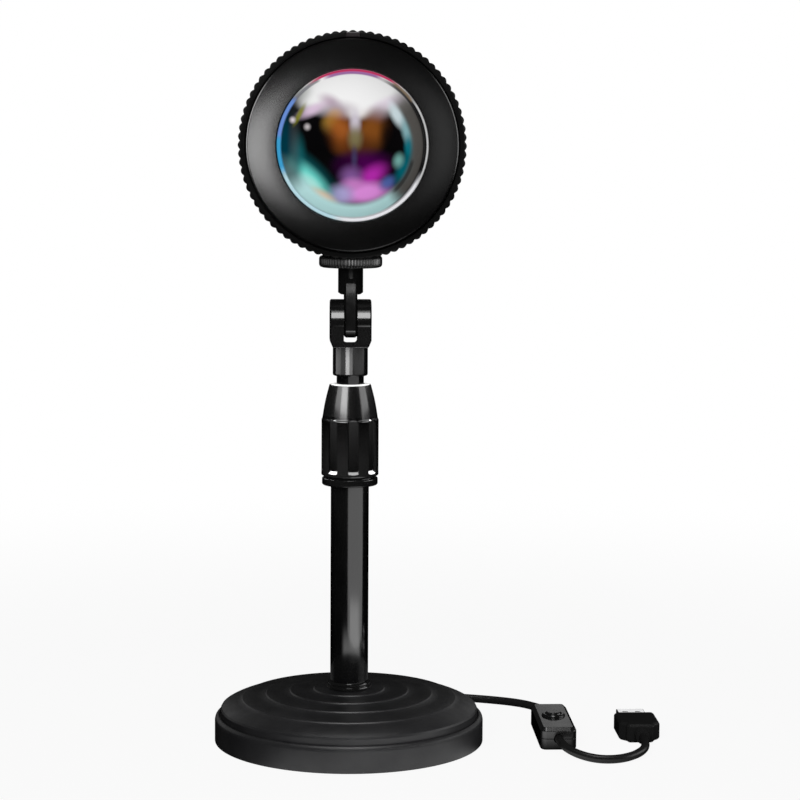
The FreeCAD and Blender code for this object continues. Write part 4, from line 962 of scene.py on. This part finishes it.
studio = {
    "floorSize": 12.0,
    "floorShade": 0.8,
    "nearGlow": 0.92,     # how much of the floor's white near the lamp doesn't depend on shadow
    "glowStart": 0.2,
    "glowEnd": 0.7,
    "roomGrey": 0.16,
    "reflectedRoom": 0.012,
    "reflectedFloor": 0.9,
    "mirrorEnd": 0.24,    # how far out glossy pieces see the floor
    "mirrorFade": (0.06, 0.02),
    "closeSector": ((-0.9, -0.45), (0.95, 1.35)),    # where glossy pieces see it, in radians from the front
    "farSector": ((-0.02, 0.1), (0.75, 1.35)),
    "sectorChange": (0.085, 0.14),
}


def maskBetween(tree, source, rise, fall):
    up = smoothRange(tree, source, rise[0], rise[1], 0, 1)
    down = smoothRange(tree, source, fall[0], fall[1], 1, 0)
    return valueMath(tree, "MULTIPLY", up, down)


# White to the camera. Glossy pieces see only the lit part of the floor, in front on the right.
def makeFloor(v):
    bm = bmesh.new()
    bmesh.ops.create_grid(bm, x_segments=1, y_segments=1, size=v["floorSize"] / 2)
    mesh = bpy.data.meshes.new("floor")
    bm.to_mesh(mesh)
    bm.free()
    floor = newObject("floor", mesh)
    material = bpy.data.materials.new("paleFloor")
    material.use_nodes = True
    tree = material.node_tree
    tree.nodes.clear()
    diffuse = newNode(tree, "BsdfDiffuse", {"Color": shade(v["floorShade"])})
    glow = newNode(tree, "Emission", {})
    place = newNode(tree, "TexCoord", {}).outputs["Object"]
    away = vectorMath(tree, "LENGTH", place).outputs["Value"]
    near = smoothRange(tree, away, v["glowStart"], v["glowEnd"], v["nearGlow"], 1)
    path = newNode(tree, "LightPath", {})
    seen = valueMath(tree, "MAXIMUM", path.outputs["Is Camera Ray"], path.outputs["Is Transmission Ray"])
    shown = newNode(tree, "MixShader", {0: valueMath(tree, "MULTIPLY", near, seen), 1: diffuse.outputs[0],
                                        2: glow.outputs[0]})
    split = newNode(tree, "SeparateXYZ", {0: place})
    front = valueMath(tree, "MULTIPLY", split.outputs["Y"], -1.0)
    angle = valueMath(tree, "ARCTAN2", split.outputs["X"], front)
    lit = newNode(tree, "Mix", {0: smoothRange(tree, away, *v["sectorChange"], 0, 1),
                                2: maskBetween(tree, angle, *v["closeSector"]),
                                3: maskBetween(tree, angle, *v["farSector"])})
    inward, outward = v["mirrorFade"]
    reach = smoothRange(tree, away, v["mirrorEnd"] - inward, v["mirrorEnd"] + outward, v["reflectedFloor"], 0)
    mirrored = newNode(tree, "Emission", {"Strength": valueMath(tree, "MULTIPLY", lit.outputs[0], reach)})
    choice = newNode(tree, "MixShader", {0: path.outputs["Is Glossy Ray"], 1: shown.outputs[0],
                                         2: mirrored.outputs[0]})
    newNode(tree, "OutputMaterial", {"Surface": choice.outputs[0]})
    mesh.materials.append(material)


def makeWorld(v):
    world = bpy.data.worlds.new("studio")
    bpy.context.scene.world = world
    world.use_nodes = True
    tree = world.node_tree
    path = newNode(tree, "LightPath", {})
    seen = valueMath(tree, "MAXIMUM", path.outputs["Is Camera Ray"], path.outputs["Is Transmission Ray"])
    room = blended(tree, path.outputs["Is Glossy Ray"], v["roomGrey"], v["reflectedRoom"])
    feed(tree, tree.nodes["Background"], {"Color": blended(tree, seen, room, 1.0)})


# Soft panels round the lamp, each on named pieces alone or, with none named, on all: height aimed at, azimuths from
# the front toward the right and elevations up in degrees, distance, brightness, gloss or diffuse or both, pieces.
shiny = ("baseCover poleFootRing colletFlange knurledRing switchTop switchBottom switchButton plugBody plugRelief "
         "plugShell leadRun leadTail headHousing rearCover receiverWindow")
panels = {
    "fill": (0.15, (-35, 15), (12, 42), 1.7, 5.0, "diffuse", ""),
    "right": (0.19, (60, 110), (0, 28), 1.2, 1.2, "both", shiny),
    "above": (0.1, (-40, 40), (62, 96), 1.3, 2.0, "both", shiny),
    "backPlug": (0.02, (152, 172), (8, 24), 1.05, 0.95, "gloss", "plugShell"),
    "backSwitch": (0.02, (158, 170), (11, 17), 1.05, 0.25, "gloss", "switchTop switchButton"),
    "backLeft": (0.15, (-155, -125), (20, 50), 1.3, 1.0, "gloss", "headHousing rearCover knurledRing colletFlange"),
    "backFill": (0.2, (140, 220), (5, 50), 1.3, 6.0, "both", "headHousing rearCover"),
    "faceLeft": (0.2505, (-42, -14), (-13, 11), 1.2, 5.5, "gloss", "facePlate"),
    "faceRight": (0.2505, (14, 38), (-14, 14), 1.2, 0.5, "gloss", "facePlate"),
    "edgeLeft": (0.2505, (-104, -76), (-35, 35), 1.2, 5.0, "gloss", "facePlate"),
    "edgeRight": (0.2505, (76, 104), (-35, 35), 1.2, 2.2, "gloss", "facePlate"),
    "edgeTop": (0.2505, (-40, 40), (76, 102), 1.2, 1.4, "gloss", "facePlate"),
    "ringLeft": (0.2505, (-100, -50), (0, 40), 1.2, 0.8, "gloss", "knurledRing"),
    "nutLeft": (0.2025, (-78, 34), (-12, 8), 0.9, 0.9, "gloss", "lockNut"),
    "nutRight": (0.2025, (44, 68), (-12, 8), 0.9, 5.0, "gloss", "lockNut"),
    "tongueTop": (0.1925, (-14, 16), (-4.6, -2.8), 0.1, 7.0, "gloss", "tiltTongue"),
    "tongueFoot": (0.173, (-14, 16), (-36, -18), 0.28, 5.0, "gloss", "tiltTongue"),
    "ears": (0.1787, (-30, 30), (5, 38), 1.1, 4.4, "gloss", "forkPiece"),
    "earsHigh": (0.1787, (-30, 30), (38, 56), 1.1, 1.0, "gloss", "forkPiece"),
    "sleeve": (0.161, (-31, -7), (-8.7, -3), 0.15, 5.2, "gloss", "forkSleeve"),
    "sleeveSoft": (0.161, (-7, 13), (-8.7, -3), 0.15, 1.8, "gloss", "forkSleeve"),
    "sleeveLeft": (0.161, (-108, -66), (-8.7, -3), 0.15, 1.0, "gloss", "forkSleeve"),
    "sleeveMid": (0.161, (-66, -31), (-8.7, -3), 0.15, 0.45, "gloss", "forkSleeve"),
    "sleeveRight": (0.161, (13, 100), (-8.7, -3), 0.15, 0.4, "gloss", "forkSleeve"),
    "rodRight": (0.152, (-18, 76), (-12, -3), 0.6, 0.5, "gloss", "inner_rod"),
    "poleFront": (0.069, (-11, 80), (-42, 42), 0.06, 0.75, "gloss", "mastTube"),
    "coneLeft": (0.145, (-46, -14), (10, 32), 1.2, 5.2, "gloss", "gripCollar"),
    "coneSoft": (0.145, (-74, -46), (10, 32), 1.2, 1.8, "gloss", "gripCollar"),
    "coneRight": (0.145, (50, 90), (8, 32), 1.2, 1.7, "gloss", "gripCollar"),
    "chamfer": (0.137, (-60, 60), (36, 50), 1.0, 0.7, "gloss", "gripCollar"),
    "footMiddle": (0.114, (-12, 38), (54, 70), 0.9, 5.0, "gloss", "gripCollar"),
    "footLeft": (0.114, (-117, -77), (33, 52), 0.9, 16.0, "gloss", "gripCollar"),
    "footRight": (0.114, (98, 136), (22, 43), 0.9, 16.0, "gloss", "gripCollar"),
    "collarTop": (0.151, (-60, 60), (30, 84), 0.8, 5.0, "diffuse", "collarHighlightRing"),
    "steps": (0.02, (-50, 50), (62, 92), 1.1, 3.0, "gloss", "baseCover"),
    "baseLeft": (0.02, (-165, -115), (5, 35), 1.1, 0.3, "gloss", "baseCover"),
    "baseRight": (0.02, (115, 165), (5, 35), 1.1, 0.3, "gloss", "baseCover"),
    "rimFront": (0.02, (-22, 52), (0, 16), 1.2, 14.0, "diffuse", "baseCover"),
}


def makePanel(name, target, azimuths, elevations, distance, brightness, kind, pieces):
    turn = math.radians(sum(azimuths) / 2)
    rise = math.radians(sum(elevations) / 2)
    wide = 2 * distance * math.tan(math.radians(azimuths[1] - azimuths[0]) / 2) * math.cos(rise)
    high = 2 * distance * math.tan(math.radians(elevations[1] - elevations[0]) / 2)
    data = bpy.data.lights.new(name, "AREA")
    data.shape = "RECTANGLE"
    data.size, data.size_y = wide, high
    data.energy = brightness * math.pi * wide * high
    lamp = newObject(name, data)
    away = Vector((math.sin(turn) * math.cos(rise), -math.cos(turn) * math.cos(rise), math.sin(rise)))
    lamp.location = Vector((0, 0, target)) + away * distance
    lamp.rotation_mode = "QUATERNION"
    lamp.rotation_quaternion = away.to_track_quat("Z", "Y")
    lamp.visible_camera = False
    lamp.visible_glossy = kind != "diffuse"
    lamp.visible_diffuse = kind != "gloss"
    if pieces:
        lit = bpy.data.collections.new(name + "Pieces")
        for piece in pieces.split():
            lit.objects.link(bpy.data.objects[piece])
        lamp.light_linking.receiver_collection = lit


makeFloor(studio)
makeWorld(studio)
for name, values in panels.items():
    makePanel(name, *values)
print("studio lit")

bpy.context.scene.view_settings.view_transform = "Standard"

print("scene ready")
